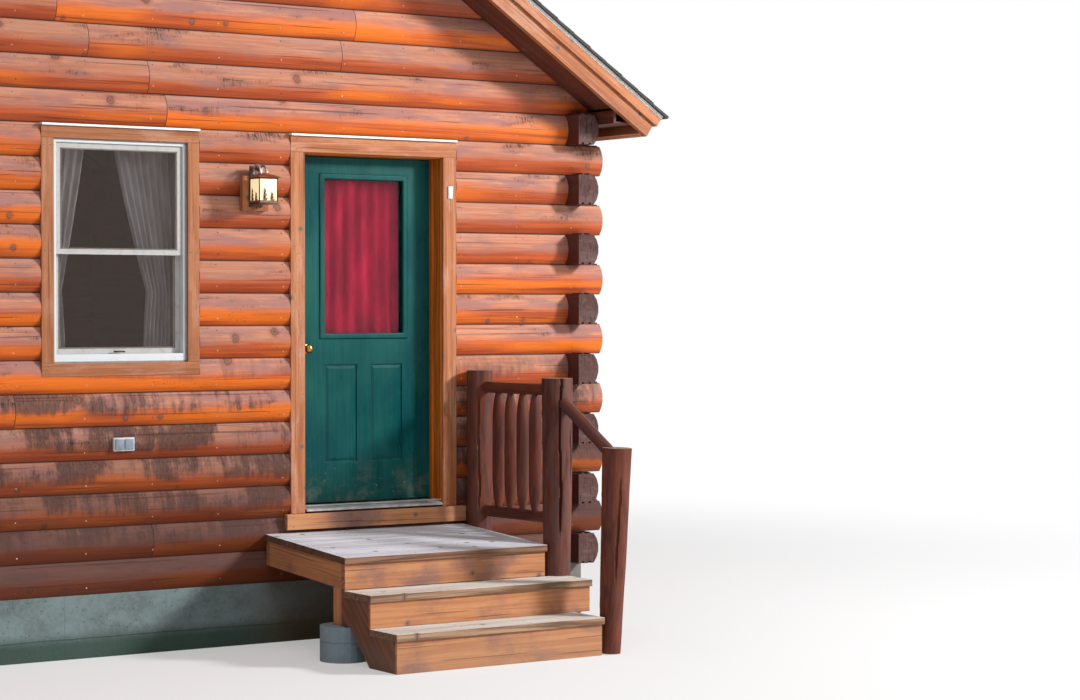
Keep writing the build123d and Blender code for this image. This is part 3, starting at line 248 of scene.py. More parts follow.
class Finish:
    """A material in the making, with short words for its nodes"""

    def __init__(self, name, roughness=0.7, metallic=0.0, shine=0.5):
        self.material = bpy.data.materials.new(name)
        self.material.use_nodes = True
        self.nodes = self.material.node_tree.nodes
        self.links = self.material.node_tree.links
        self.shader = self.nodes["Principled BSDF"]
        self.set("Roughness", roughness)
        self.set("Metallic", metallic)
        self.set("Specular IOR Level", shine)
        self.relief_end = None

    def set(self, name, value):
        self.put(self.shader.inputs[name], value)

    def put(self, socket, value):
        if isinstance(value, Value):
            value = value.socket
        if isinstance(value, bpy.types.NodeSocket):
            self.links.new(value, socket)
        else:
            socket.default_value = value

    def add(self, kind, values=(), out=0, **settings):
        # A node with its settings and inputs, by name or by number, and one of its outputs
        node = self.nodes.new("ShaderNode" + kind)
        for name, value in settings.items():
            setattr(node, name, value)
        for key, value in values:
            self.put(node.inputs[key], value)
        if out is None:
            return [Value(self, socket) for socket in node.outputs]
        return Value(self, node.outputs[out])

    def place(self, name=None):
        # Where a point is: on the object, or in the piece's own attribute
        if name is None:
            return self.add("TexCoord", out="Object")
        return self.add("Attribute", out="Vector", attribute_name=name)

    def reading(self, name):
        return self.add("Attribute", out="Fac", attribute_name=name)

    def calc(self, operation, *values):
        values = enumerate((*values, 0.0, 0.0)[:3])
        return self.add("Math", values, operation=operation)

    def split(self, vector):
        return self.add("SeparateXYZ", [(0, vector)], None)

    def length(self, vector):
        return self.add("VectorMath", [(0, vector)], "Value", operation="LENGTH")

    def join(self, x, y, z):
        return self.add("CombineXYZ", enumerate((x, y, z)))

    def mapped(self, vector, scale):
        return self.add("Mapping", [("Vector", vector), ("Scale", scale)])

    def cloud(self, vector, scale, detail=3.0, roughness=0.55, twist=0.0):
        # Noise stretched by a scale per axis
        return self.add("TexNoise", [("Vector", self.mapped(vector, scale)), ("Scale", 1.0),
                                     ("Detail", detail), ("Roughness", roughness),
                                     ("Distortion", twist)], "Fac")

    def spots(self, vector, scale):
        # Distance to scattered points
        return self.add("TexVoronoi", [("Vector", self.mapped(vector, scale)), ("Scale", 1.0)],
                        "Distance")

    def scattered(self, vector, size, kept):
        # Distance in metres to points strewn over a flat face, and 1 where a point is kept
        near, lot = self.add("TexVoronoi", [
            ("Vector", self.mapped(vector, (1 / size, 1 / size, 0))), ("Scale", 1.0)], None,
            voronoi_dimensions="2D")[:2]
        lot = self.split(lot)
        return near * size, self.calc("LESS_THAN", lot[0], kept), lot[1]

    def band(self, value, low, high, to_low=0.0, to_high=1.0):
        return self.add("MapRange", [("Value", value), ("From Min", low), ("From Max", high),
                                     ("To Min", to_low), ("To Max", to_high)],
                        interpolation_type="SMOOTHSTEP")

    def mix(self, share, first, second, blend="MIX"):
        return self.add("Mix", [(0, share), (6, first), (7, second)], 2, data_type="RGBA",
                        blend_type=blend)

    def relief(self, height, distance):
        values = [("Height", height), ("Distance", distance)]
        if self.relief_end is not None:
            values.append(("Normal", self.relief_end))
        self.relief_end = self.add("Bump", values)
        self.set("Normal", self.relief_end)

    def done(self, base, roughness=None):
        self.set("Base Color", base)
        if roughness is not None:
            self.set("Roughness", roughness)
        return self.material


def palette():
    return bpy.context.scene.cabin_colours


def sizes():
    return bpy.context.scene.cabin_sizes


def ink_of(given):
    # A tint from its name in the palette or from the three numbers of a screen colour
    if isinstance(given, str):
        return getattr(palette(), given)
    if isinstance(given, tuple) and len(given) == 3:
        return colour(*given)
    raise ValueError(f"{given} is no tint")


def log_finish(name):
    # Milled logs: glowing lower half, upper half paler from weathering and painted sky light,
    # mould, knots, painted highlights and shade, and sawn ends
    ink = palette()
    f = Finish(name, shine=0.22)
    where = f.place("log_place")
    _, up, depth = f.split(where)
    tone = f.reading("log_tone")
    ended = f.reading("cut_end")
    world_z = f.split(f.place())[2]
    share = up / COURSE

    grain = f.cloud(where, (1.4, 60, 46), 5, 0.62, 0.4)
    fibre = f.cloud(where, (7, 420, 300), 3, 0.6)
    patch = f.cloud(where, (2.4, 10, 10), 4, 0.6)
    wide = f.cloud(where, (0.8, 2.2, 2.2), 3, 0.5)
    sweep = f.cloud(where, (0.45, 12, 12), 3, 0.6, 0.8)

    # Orange stain that still glows in places, red-brown elsewhere and between
    leaning = wide + (tone - 0.5) * 0.34
    stain = f.mix(f.band(grain, 0.3, 0.72), ink.log_stain_deep, ink.log_stain)
    glow = f.band(leaning, 0.44, 0.6) * f.band(sweep, 0.36, 0.56)
    stain = f.mix(glow * 0.85, stain, ink.log_glow)
    stain = f.mix(f.band(fibre, 0.62, 0.42, 0.0, 0.25), stain, ink.log_stain_deep)

    # Weathered skin: salmon, going purple-grey in drifts; the upper half is paler partly from
    # weathering and partly from painted light from the sky
    pale = f.mix(f.band(grain, 0.35, 0.65), ink.log_salmon, ink.log_weathered_and_sky_lit)
    pale = f.mix(f.band(patch + tone * 0.12, 0.48, 0.68, 0.0, 0.85), pale, ink.log_bleached)
    pale = f.mix(f.band(fibre, 0.6, 0.4, 0.0, 0.22), pale, ink.log_stain_deep)
    shift = (patch - 0.5) * 0.5 + (leaning - 0.5) * -0.5
    wander = share + shift
    upper = f.band(wander, 0.3, 0.66)
    skin = f.mix(upper, stain, pale)
    # Painted highlight along the top edge of each log
    skin = f.mix(f.band(wander, 0.82, 1.05, 0.0, 0.45), skin, ink.log_crest_highlight)

    # Mould: soft dark films made of fine mottling, drawn out a little upright
    damp_zone = f.band(world_z, 0.5, 0.75) * f.band(world_z, 1.8, 1.3)
    high_zone = f.band(world_z, 2.5, 2.8) * f.band(world_z, 3.6, 3.2)
    damp_share = f.calc("MAXIMUM", damp_zone, high_zone)
    gathered = f.cloud(where, (1.7, 7, 7), 4, 0.66) + damp_share * 0.04
    cluster = f.band(gathered, 0.55, 0.7) * f.band(wander, 0.3, 0.62)
    mottle = f.cloud(where, (110, 34, 20), 5, 0.78) + f.cloud(where, (90, 7, 7), 3, 0.55) * 0.5
    blotch = f.band(mottle, 0.7, 0.86)
    skin = f.mix(cluster * 0.34, skin, ink.mould_dust)
    skin = f.mix(cluster * blotch * 0.9, skin, ink.mould)
    drift = f.cloud(where, (2.2, 8, 8), 3, 0.6)
    specks = f.cloud(where, (170, 60, 60), 3, 0.6)
    loose = f.band(drift, 0.54, 0.66) * f.band(specks, 0.6, 0.68)
    skin = f.mix(loose * 0.7, skin, ink.mould)

    # Splashed courses: a broad dark film over the upper half, running down in places
    runs = f.cloud(where, (26, 2.4, 2.4), 3, 0.6)
    drawn = f.cloud(where, (3.2, 3.2, 3.2), 5, 0.62) + runs * 0.45
    film = f.band(drawn, 0.6, 0.8) * f.band(wander + drawn * 0.5, 0.6, 0.86) * damp_zone
    skin = f.mix(film * 0.82, skin, colour(84, 60, 52))
    skin = f.mix(film * blotch * 0.6, skin, ink.mould)

    # Knots: a grey heart, a dark ring and a stained halo
    spread = f.cloud(where, (16, 40, 40), 2, 0.5) - 0.5
    away, kept, lot = f.scattered(where, 0.25, 0.2)
    away = away / (0.45 + lot * 0.8) + spread * 0.034
    halo = f.band(away, 0.06, 0.018) * kept
    ring = f.band(away, 0.032, 0.024) * f.band(away, 0.014, 0.022) * kept
    heart = f.band(away, 0.026, 0.018) * kept
    skin = f.mix(halo * 0.4, skin, ink.log_stain_deep)
    skin = f.mix(heart * 0.7, skin, ink.knot)
    skin = f.mix(ring * 0.36, skin, ink.mould)
    pith = f.band(away, 0.009, 0.004) * kept
    skin = f.mix(pith * 0.5, skin, ink.mould)

    # Long fine drying cracks, then painted shade at each bed joint
    crack = f.band(f.cloud(where, (0.9, 75, 75), 2, 0.4, 0.2), 0.335, 0.3)
    skin = f.mix(crack * 0.55, skin, colour(70, 42, 32))
    edge = f.calc("MINIMUM", share, 1.0 - share)
    # Painted shade: the lower part of each log darker, and a dark line in the groove between logs
    skin = f.mix(f.band(share, 0.2, 0.0, 0.0, 0.4), skin, colour(120, 56, 32))
    skin = f.mix(f.band(edge, 0.04, 0.0, 0.0, 0.85), skin, colour(52, 30, 26))

    # Each log has its own tone, and the low courses are darker towards the ground
    shade = 0.86 + tone * 0.22
    skin = f.mix(1.0, skin, f.join(shade, shade * 0.985, shade), "MULTIPLY")
    low_course_height = world_z + (patch - 0.5) * 0.5
    damp = f.band(low_course_height, 1.5, 0.55)
    skin = f.mix(damp * 0.86, skin, f.mix(upper, ink.log_low_course, colour(78, 52, 48)))
    # Painted shade on the inner faces of the logs, seen at the projecting corner ends
    inner_face_shade = f.band(depth, 0.14, 0.149)
    skin = f.mix(inner_face_shade * 0.9, skin, colour(74, 38, 36))

    # Sawn ends: rings about the middle of the log, radial cracks
    middle = f.join(0.0, up - 0.082, depth - 0.095)
    wobble = f.cloud(where, (1, 22, 22), 2, 0.5) * 0.02
    radius = f.length(middle) + wobble
    rings = f.calc("SINE", radius * 1250.0)
    sawn = f.mix(f.band(rings, -0.6, 0.8, 0.0, 0.55), ink.log_end, colour(82, 54, 50))
    sawn = f.mix(f.band(f.cloud(where, (1, 46, 18), 4, 0.65), 0.46, 0.7, 0.0, 0.45), sawn,
                 colour(118, 88, 80))
    sawn = f.mix(f.band(f.cloud(where, (1, 14, 90), 3, 0.6), 0.54, 0.64, 0.0, 0.8), sawn,
                 colour(50, 34, 34))
    skin = f.mix(ended, skin, sawn)

    f.relief(grain + fibre * 0.35, 0.0016)
    f.relief(1.0 - f.calc("MAXIMUM", crack, ring * 0.5), 0.002)
    return f.done(skin, f.band(upper, 0.0, 1.0, 0.5, 0.8))


def board_finish(name, light, dark, bleach, bleach_share=0.3, knots=True, gloss=0.62, damp=None,
                 blocks=BOARD_BLOCKS, edge=None):
    # Sawn boards: grain along the board, knots, bleached patches and darker ends
    ink = palette()
    light, dark, bleach = map(ink_of, (light, dark, bleach))
    edge = edge and [*map(ink_of, edge)]
    f = Finish(name, gloss, shine=0.25)
    where = f.place("board_place")
    tone = f.reading("board_tone")
    ended = f.reading("cut_end")
    flow = f.cloud(where, (1.1, 34, 34), 4, 0.6, 0.9)
    fibre = f.cloud(where, (8, 420, 420), 3, 0.6)
    patch = f.cloud(where, blocks, 4, 0.62)
    skin = f.mix(f.band(flow, 0.34, 0.66), dark, light)
    skin = f.mix(f.band(fibre, 0.6, 0.4, 0.0, 0.3), skin, dark)
    skin = f.mix(f.band(patch, 0.46, 0.7, 0.0, bleach_share), skin, bleach)
    if edge is not None:
        # The sides of a trodden board keep their stain
        facing = f.split(f.add("TexCoord", out="Normal"))[2]
        worn = f.band(facing + patch * 0.3, 0.45, 0.85)
        skin = f.mix(worn, f.mix(f.band(flow, 0.36, 0.64), edge[0], edge[1]), skin)
    height = flow + fibre * 0.4
    if knots:
        spread = f.cloud(where, (14, 40, 40), 2, 0.5) - 0.5
        away, kept, _ = f.scattered(where, 0.22, 0.34)
        away = away + spread * 0.012
        skin = f.mix(f.band(away, 0.024, 0.01, 0.0, 0.75) * kept, skin, ink.knot)
        skin = f.mix(f.band(away, 0.008, 0.002, 0.0, 0.6) * kept, skin, colour(70, 44, 36))
    crack = f.band(f.cloud(where, (1.0, 90, 90), 2, 0.4, 0.2), 0.325, 0.295)
    skin = f.mix(crack * 0.5, skin, colour(64, 40, 32))
    speck = f.band(f.cloud(where, (60, 120, 120), 2, 0.6), 0.62, 0.72) * f.band(patch, 0.45, 0.62)
    skin = f.mix(speck * 0.5, skin, ink.mould)
    shade = 0.88 + tone * 0.22
    skin = f.mix(1.0, skin, f.join(shade, shade, shade), "MULTIPLY")
    sawn = f.mix(f.band(f.cloud(where, (1, 60, 60), 3, 0.6), 0.4, 0.65),
                 edge[0] if edge else dark, ink.log_end)
    skin = f.mix(ended * 0.7, skin, sawn)
    if damp is not None:
        up = f.split(f.place())[2]
        reach = up + (patch - 0.5) * 0.12
        skin = f.mix(f.band(reach, damp[1], damp[0], 0.0, damp[2]), skin, ink_of(damp[3]))
    f.relief(height, 0.0012)
    f.relief(1.0 - crack, 0.0014)
    return f.done(skin)


def peeled_finish(name):
    # Peeled poles: dark stain with long pale streaks worn through it
    ink = palette()
    f = Finish(name, 0.62, shine=0.2)
    where = f.place("board_place")
    ended = f.reading("cut_end")
    tone = f.reading("board_tone")
    flow = f.cloud(where, (2.4, 18, 18), 5, 0.66, 0.7)
    fibre = f.cloud(where, (9, 300, 300), 3, 0.6)
    wear = f.cloud(where, (3.4, 12, 12), 4, 0.6)
    skin = f.mix(f.band(flow, 0.34, 0.7), ink.peeled_bark, colour(120, 60, 38))
    skin = f.mix(f.band(wear, 0.52, 0.7, 0.0, 0.4), skin, ink.peeled_worn)
    skin = f.mix(f.band(fibre, 0.58, 0.4, 0.0, 0.25), skin, colour(62, 36, 32))
    grey = tone * f.band(f.cloud(where, (3, 20, 20), 3, 0.6), 0.36, 0.6)
    skin = f.mix(grey * 0.45, skin, colour(96, 78, 76))
    distance = f.spots(where, (3.4, 8, 8)) + (wear - 0.5) * 0.1
    knot = f.band(distance, 0.17, 0.1)
    skin = f.mix(knot * 0.7, skin, colour(70, 44, 40))
    sawn = f.mix(f.band(f.cloud(where, (1, 45, 45), 3, 0.6), 0.38, 0.66), colour(120, 96, 82),
                 colour(162, 142, 126))
    skin = f.mix(ended, skin, sawn)
    f.relief(flow + fibre * 0.4, 0.002)
    f.relief(knot, 0.003)
    return f.done(skin)


def concrete_finish(name):
    # Poured concrete: form lines, a cold joint, pores, damp near the ground and painted light on
    # the piers
    ink = palette()
    f = Finish(name, 0.88)
    where = f.place()
    x, y, z = f.split(where)
    mottled = f.cloud(where, (3.2, 3.2, 5), 6, 0.65)
    fine = f.cloud(where, (42, 42, 42), 5, 0.7)
    pores = f.band(f.spots(where, (34, 34, 34)), 0.16, 0.08)
    joint_line = f.calc("ABSOLUTE", z - (0.108 + (f.cloud(where, (1.4, 1.4, 1), 2) - 0.5) * 0.02))
    joint = f.band(joint_line, 0.006, 0.001)
    board_line = f.calc("ABSOLUTE", f.calc("FRACT", (x + y) / 0.61) - 0.5)
    seam = f.band(board_line, 0.006, 0.0) * 0.35
    skin = f.mix(f.band(mottled, 0.34, 0.68), colour(94, 106, 106), ink.concrete)
    skin = f.mix(f.band(fine, 0.4, 0.68, 0.0, 0.35), skin, colour(138, 150, 148))
    skin = f.mix(pores * 0.45, skin, colour(70, 76, 74))
    skin = f.mix(f.calc("MAXIMUM", joint, seam) * 0.5, skin, colour(60, 66, 64))
    on_wall = f.band(y, FRONT_Y - 0.1, FRONT_Y)
    skin = f.mix(f.band(z, 0.17, 0.07, 0.0, 0.9) * on_wall, skin, colour(46, 68, 58))
    # Painted light: the piers, away from the wall, are lightened and tinted blue
    skin = f.mix((1.0 - on_wall) * 0.55, skin, colour(152, 174, 190))
    soil = f.band(x, 0.7, 1.2) * f.band(y + mottled, -2.1, -2.6) * on_wall
    skin = f.mix(soil * 0.5, skin, colour(122, 92, 58))
    f.relief(fine, 0.002)
    f.relief(1.0 - f.calc("MAXIMUM", f.calc("MAXIMUM", pores, joint), seam), 0.003)
    return f.done(skin)


def shingle_finish(name):
    # Mineral granules of mixed greys, each tab with a tone of its own
    ink = palette()
    f = Finish(name, 0.95)
    where = f.place()
    tone = f.reading("board_tone")
    grains = f.spots(where, (420, 420, 420))
    patch = f.cloud(where, (6, 6, 6), 4, 0.6)
    skin = f.mix(tone, colour(62, 62, 62), ink.shingle)
    skin = f.mix(f.band(grains, 0.2, 0.6, 0.0, 0.3), skin, colour(108, 108, 104))
    skin = f.mix(f.band(patch, 0.5, 0.72, 0.0, 0.4), skin, colour(72, 78, 70))
    f.relief(grains, 0.0008)
    return f.done(skin)


def white_metal_finish(name):
    ink = palette()
    f = Finish(name, 0.42)
    where = f.place()
    dirt = f.cloud(where, (5, 5, 16), 4, 0.65)
    skin = f.mix(f.band(dirt, 0.5, 0.74, 0.0, 0.35), ink.white_paint, colour(176, 172, 164))
    f.relief(f.cloud(where, (30, 30, 30), 2), 0.0004)
    return f.done(skin, f.band(dirt, 0.4, 0.7, 0.36, 0.6))


def vinyl_finish(name):
    ink = palette()
    f = Finish(name, 0.4)
    where = f.place()
    dirt = f.cloud(where, (9, 9, 5), 5, 0.65)
    fine = f.cloud(where, (160, 160, 160), 2)
    skin = f.mix(f.band(dirt, 0.46, 0.72, 0.0, 0.4), ink.vinyl, colour(198, 190, 180))
    skin = f.mix(f.band(fine, 0.62, 0.72, 0.0, 0.2), skin, colour(150, 140, 128))
    f.relief(fine, 0.0003)
    return f.done(skin, f.band(dirt, 0.4, 0.7, 0.34, 0.55))


def pane_finish(name, tint, cover, glare):
    # Clear pane with a thin film of dust; it shows what lies behind it
    f = Finish(name, 0.03)
    f.set("Specular Tint", glare)
    f.set("Transmission Weight", 1.0)
    f.set("IOR", 1.45)
    where = f.place()
    dust = f.cloud(where, (3, 3, 3), 4, 0.6)
    skin = f.mix(f.band(dust, 0.4, 0.75, 0.0, cover), ink_of(tint), colour(214, 208, 200))
    return f.done(skin, f.band(dust, 0.4, 0.8, 0.02, 0.09))


def door_finish(name):
    # Satin paint, faded in cloudy patches, with drips, dust and chips near the bottom edge
    ink = palette()
    f = Finish(name, 0.34, shine=0.14)
    where = f.place()
    z = f.split(where)[2]
    brush = f.cloud(where, (60, 60, 2.4), 3, 0.6)
    cloudy = f.cloud(where, (2.2, 2.2, 1.6), 4, 0.6)
    skin = f.mix(f.band(cloudy, 0.35, 0.7, 0.0, 0.7), ink.door_paint, ink.door_worn)
    skin = f.mix(f.band(brush, 0.35, 0.65, 0.0, 0.05), skin, colour(96, 140, 134))
    low = f.band(z, 1.1, 0.8)
    chip = f.band(f.cloud(where, (28, 28, 28), 5, 0.75), 0.64, 0.67) * low
    skin = f.mix(chip, skin, colour(176, 168, 154))
    dust = f.band(f.cloud(where, (8, 8, 8), 4, 0.7), 0.48, 0.7) * low
    skin = f.mix(dust * 0.3, skin, colour(140, 132, 118))
    f.relief(brush, 0.0005)
    f.relief(1.0 - chip, 0.0006)
    return f.done(skin, f.band(cloudy, 0.3, 0.7, 0.24, 0.4))


def metal_finish(name, tint, dark, roughness, metallic=1.0, scale=30):
    tint, dark = ink_of(tint), ink_of(dark)
    f = Finish(name, roughness, metallic)
    where = f.place()
    cloudy = f.cloud(where, (scale, scale, scale), 4, 0.65)
    rub = f.cloud(where, (scale * 6, scale, scale * 6), 3, 0.6)
    skin = f.mix(f.band(cloudy, 0.35, 0.7), dark, tint)
    skin = f.mix(f.band(rub, 0.6, 0.75, 0.0, 0.3), skin, dark)
    f.relief(cloudy, 0.0004)
    return f.done(skin, f.band(cloudy, 0.3, 0.7, roughness * 0.8, min(1.0, roughness * 1.4)))


def lamp_glass_finish(name):
    ink = palette()
    f = Finish(name, 0.28)
    where = f.place()
    swirl = f.cloud(where, (14, 14, 14), 4, 0.6, 1.2)
    skin = f.mix(f.band(swirl, 0.4, 0.7, 0.0, 0.5), ink.lamp_glass, colour(248, 230, 190))
    # Painted glow: emission makes the cream glass bright, standing in for daylight passing through
    # it
    f.set("Emission Color", ink.lamp_glass)
    f.set("Emission Strength", 0.66)
    f.set("Subsurface Weight", 0.2)
    f.set("Subsurface Scale", 0.02)
    f.relief(swirl, 0.0008)
    return f.done(skin)


def plastic_finish(name, tint, worn, roughness=0.4):
    f = Finish(name, roughness)
    where = f.place()
    dirt = f.cloud(where, (26, 26, 26), 4, 0.65)
    skin = f.mix(f.band(dirt, 0.46, 0.74, 0.0, 0.45), ink_of(tint), ink_of(worn))
    f.relief(f.cloud(where, (400, 400, 400), 2), 0.0002)
    return f.done(skin)


def cloth_finish(name, tint, shade, sheer):
    # Woven cloth on its own threads, counted by the piece's own map
    f = Finish(name, 0.85, shine=0.15)
    threads = f.place("cloth_place")
    across, down, _ = f.split(threads)
    warp = f.calc("SINE", across * 5200.0)
    weft = f.calc("SINE", down * 5200.0)
    weave = (warp * weft + 1.0) * 0.5
    cloudy = f.cloud(threads, (5, 2.5, 1), 3, 0.6)
    shade = ink_of(shade)
    skin = f.mix(f.band(cloudy, 0.35, 0.7), shade, ink_of(tint))
    skin = f.mix(weave * 0.08, skin, shade)
    f.set("Sheen Weight", 0.04)
    f.set("Sheen Roughness", 0.5)
    if sheer < 1.0:
        f.set("Alpha", f.band(weave, 0.0, 1.0, sheer - 0.12, sheer + 0.12))
    f.relief(weave, 0.0003)
    return f.done(skin)


def floor_board_finish(name):
    f = Finish(name, 0.5)
    where = f.place()
    x, y, z = f.split(where)
    row = x / 0.133
    lane = f.calc("FLOOR", row)
    seam = f.band(f.calc("ABSOLUTE", f.calc("FRACT", row) - 0.5), 0.475, 0.49)
    shifted = f.join(x + lane * 3.7, y, z)
    flow = f.cloud(shifted, (38, 1.3, 38), 4, 0.6, 0.8)
    skin = f.mix(f.band(flow, 0.35, 0.68), colour(128, 88, 56), colour(170, 124, 82))
    skin = f.mix(seam * 0.8, skin, colour(48, 32, 24))
    f.relief(1.0 - seam, 0.002)
    f.relief(flow, 0.0008)
    return f.done(skin)


# Each finish's maker and its values, where a tint given as a word is a colour of the palette
FINISHES = {
    "Stained log": (log_finish,),
    "Stained trim": (board_finish, "trim_stain", "trim_stain_deep", (206, 158, 134), 0.5),
    # Soffits: the dark colours are painted shade under the eaves
    "Soffit board": (board_finish, (116, 62, 46), (82, 44, 34), (128, 78, 62), 0.3),
    "Varnished jamb": (board_finish, (204, 112, 30), (152, 78, 20), (210, 136, 66), 0.3, False,
                       0.45),
    "Sawn board": (board_finish, (188, 150, 112), (150, 112, 80), (170, 150, 132), 0.3),
    "Worn deck board": (board_finish, "deck_face", (196, 194, 200), (232, 236, 244), 0.5, True,
                        0.8, None, BOARD_BLOCKS, ((88, 60, 46), (150, 112, 86))),
    "Porch board": (board_finish, "deck_stain", (178, 118, 80), (122, 92, 92), 0.8, True, 0.7,
                    (0.0, 0.26, 0.3, (160, 126, 100)), (2.2, 2.6, 2.6)),
    # Stringers: the dark colours are painted shade on the side of the steps
    "Skirt board": (board_finish, (134, 88, 68), (98, 62, 48), (110, 88, 84), 0.6, True, 0.75,
                    (0.0, 0.2, 0.3, (130, 112, 96))),
    "Stair tread": (board_finish, (226, 220, 214), (196, 184, 170), (230, 226, 224), 0.55, True,
                    0.8, None, BOARD_BLOCKS, ((110, 82, 62), (176, 142, 114))),
    "Peeled pole": (peeled_finish,),
    "Poured concrete": (concrete_finish,),
    "Roof shingle": (shingle_finish,),
    "White metal": (white_metal_finish,),
    "Window vinyl": (vinyl_finish,),
    "Window pane": (pane_finish, (226, 220, 212), 0.1, (0.92, 0.74, 0.68, 1.0)),
    "Door pane": (pane_finish, (240, 236, 234), 0.02, (0.36, 0.3, 0.36, 1.0)),
    "Door paint": (door_finish,),
    "Bronze": (metal_finish, "bronze", (52, 36, 32), 0.36, 0.55),
    "Copper roof": (metal_finish, (178, 116, 88), (112, 66, 50), 0.4, 0.6),
    "Cut plate": (metal_finish, (150, 118, 84), (96, 70, 50), 0.5, 0.2),
    "Mill aluminium": (metal_finish, (214, 216, 216), (178, 178, 176), 0.42, 0.25, 12),
    "Bright metal": (metal_finish, (226, 222, 216), (150, 132, 120), 0.24, 0.6, 40),
    "Polished brass": (metal_finish, (206, 168, 98), (120, 86, 44), 0.24, 1.0, 40),
    "Dull steel": (metal_finish, (112, 100, 94), (58, 46, 42), 0.5, 0.7, 60),
    "Nail head": (metal_finish, (120, 106, 98), (52, 38, 36), 0.5, 0.5, 8),
    "Pale nail head": (metal_finish, (226, 206, 190), (170, 140, 122), 0.5, 0.1, 8),
    "Lamp glass": (lamp_glass_finish,),
    "Socket plastic": (plastic_finish, (214, 214, 212), (170, 160, 150)),
    "Flap plastic": (plastic_finish, (132, 146, 160), (108, 112, 120)),
    "Seal rubber": (plastic_finish, (206, 200, 190), (150, 140, 126), 0.7),
    # Sashes: a greyer copy of the window vinyl, painted shade of their recess in the frame
    "Window sash": (plastic_finish, (188, 186, 184), (150, 140, 126), 0.42),
    "Window step": (plastic_finish, (150, 146, 140), (110, 98, 84), 0.5),
    # Beads: dark colours are a painted shadow line round each pane
    "Window bead": (plastic_finish, (112, 102, 90), (78, 66, 56), 0.5),
    "Crimson cloth": (cloth_finish, "curtain_red", (164, 22, 56), 1.0),
    "Sheer cloth": (cloth_finish, "curtain_sheer", (176, 176, 184), 0.82),
    "Floor board": (floor_board_finish,),
}


def finish(name):
    # A material by its name, made when it is first asked for
    maker, *told = FINISHES[name]
    return bpy.data.materials.get(name) or maker(name, *told)


# Making pieces


def islands(bm):
    # Groups of faces that hang together, in the order of their first faces
    left = set(bm.faces)
    for first in list(bm.faces):
        if first not in left:
            continue
        left.remove(first)
        group = [first]
        for face in group:
            for edge in face.edges:
                for neighbour in edge.link_faces:
                    if neighbour in left:
                        left.remove(neighbour)
                        group.append(neighbour)
        yield sorted(group, key=lambda face: face.index)


def node_copy(node):
    # A merged copy of a CAD node's mesh, with its flat faces made whole
    bm = bmesh.new()
    bm.from_mesh(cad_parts[node].data)
    bmesh.ops.remove_doubles(bm, verts=bm.verts, dist=1e-5)
    bmesh.ops.dissolve_limit(bm, angle_limit=math.radians(0.4), verts=bm.verts, edges=bm.edges)
    bm.faces.index_update()
    return bm


def own_layer(layers, name):
    found = layers.get(name)
    return layers.new(name) if found is None else found


def surface_layers(bm, place="board_place", tone="board_tone"):
    # Layers for a point's place on its own timber, the timber's tone and its sawn ends
    own_layer(bm.loops.layers.float_vector, place)
    for name in (tone, "cut_end"):
        own_layer(bm.loops.layers.float, name)
    singles = bm.loops.layers.float
    return bm.loops.layers.float_vector[place], singles[tone], singles["cut_end"]


def mark_board(bm, group, along, dice, start=None):
    # Write each point's place on its own board: along it, across it and through it
    place, tone, cut = surface_layers(bm)
    corners = [vert.co for face in group for vert in face.verts]
    centre = sum(corners, Vector()) / len(corners) if start is None else start
    sides = [face for face in group if abs(face.normal.dot(along)) < 0.5]
    widest = max(sides, key=lambda face: face.calc_area()).normal if sides else UP
    across = widest.cross(along).normalized()
    through = along.cross(across).normalized()
    shift = Vector((dice.uniform(0, 30), dice.uniform(0, 30), dice.uniform(0, 30)))
    shade = dice.random()
    for face in group:
        ended = 1.0 if abs(face.normal.dot(along)) > 0.85 else 0.0
        for loop in face.loops:
            reach = loop.vert.co - centre
            loop[place] = shift + Vector((reach.dot(along), reach.dot(across), reach.dot(through)))
            loop[tone] = shade
            loop[cut] = ended


def mark_boards(bm, seed):
    # The longest edge of each board gives its direction
    dice = random.Random(seed)
    surface_layers(bm)
    for group in list(islands(bm)):
        edges = {edge for face in group for edge in face.edges}
        longest = max(edges, key=lambda edge: (round(edge.calc_length(), 5), edge.index))
        along = (longest.verts[1].co - longest.verts[0].co).normalized()
        mark_board(bm, group, along, dice)


def shade_smooth(bm, angle=32.0):
    limit = math.radians(angle)
    for face in bm.faces:
        face.smooth = True
    for edge in bm.edges:
        edge.smooth = len(edge.link_faces) == 2 and edge.calc_face_angle(0.0) < limit


def round_edges(piece, name, width, segments):
    rounding = piece.modifiers.new(name, "BEVEL")
    rounding.width = width
    rounding.segments = segments
    rounding.limit_method = "ANGLE"
    rounding.angle_limit = math.radians(40)
    rounding.harden_normals = True


def make_piece(bm, name, body, slot, finishes, replaced=(), angle=32.0, wear=0.0):
    # A finished object at the origin, with its place in its mesh, riding on its body
    shade_smooth(bm, angle)
    mesh = bpy.data.meshes.new(name)
    bm.to_mesh(mesh)
    bm.free()
    for each in finishes:
        mesh.materials.append(finish(each))
    piece = bpy.data.objects.new(name, mesh)
    bpy.context.scene.collection.objects.link(piece)
    if wear > 0.0:
        round_edges(piece, "Worn edges", wear, 2)
    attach(piece, body)
    if replaced:
        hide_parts(*replaced)
    return piece


def dress_boards(first_seed, table):
    # The CAD boards again, with grain that runs along each of them and worn edges
    for seed, (node, name, slot, finish_name, *wear) in enumerate(table, first_seed):
        bm = node_copy(node)
        mark_boards(bm, seed)
        worn = wear[0] if wear else sizes().edge_wear
        make_piece(bm, name, "cabin", slot, [finish_name], (node,), wear=worn)


def finish_node(node, finish_name, wear=0.0, segments=2):
    # A CAD node that keeps its own mesh and gets its finish and softened edges
    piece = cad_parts[node]
    material = finish(finish_name)
    if piece.material_slots:
        for place in piece.material_slots:
            place.material = material
    else:
        piece.data.materials.append(material)
    if wear > 0.0:
        weld = piece.modifiers.new("Joined corners", "WELD")
        weld.merge_threshold = 1e-5
        round_edges(piece, "Softened edges", wear, segments)


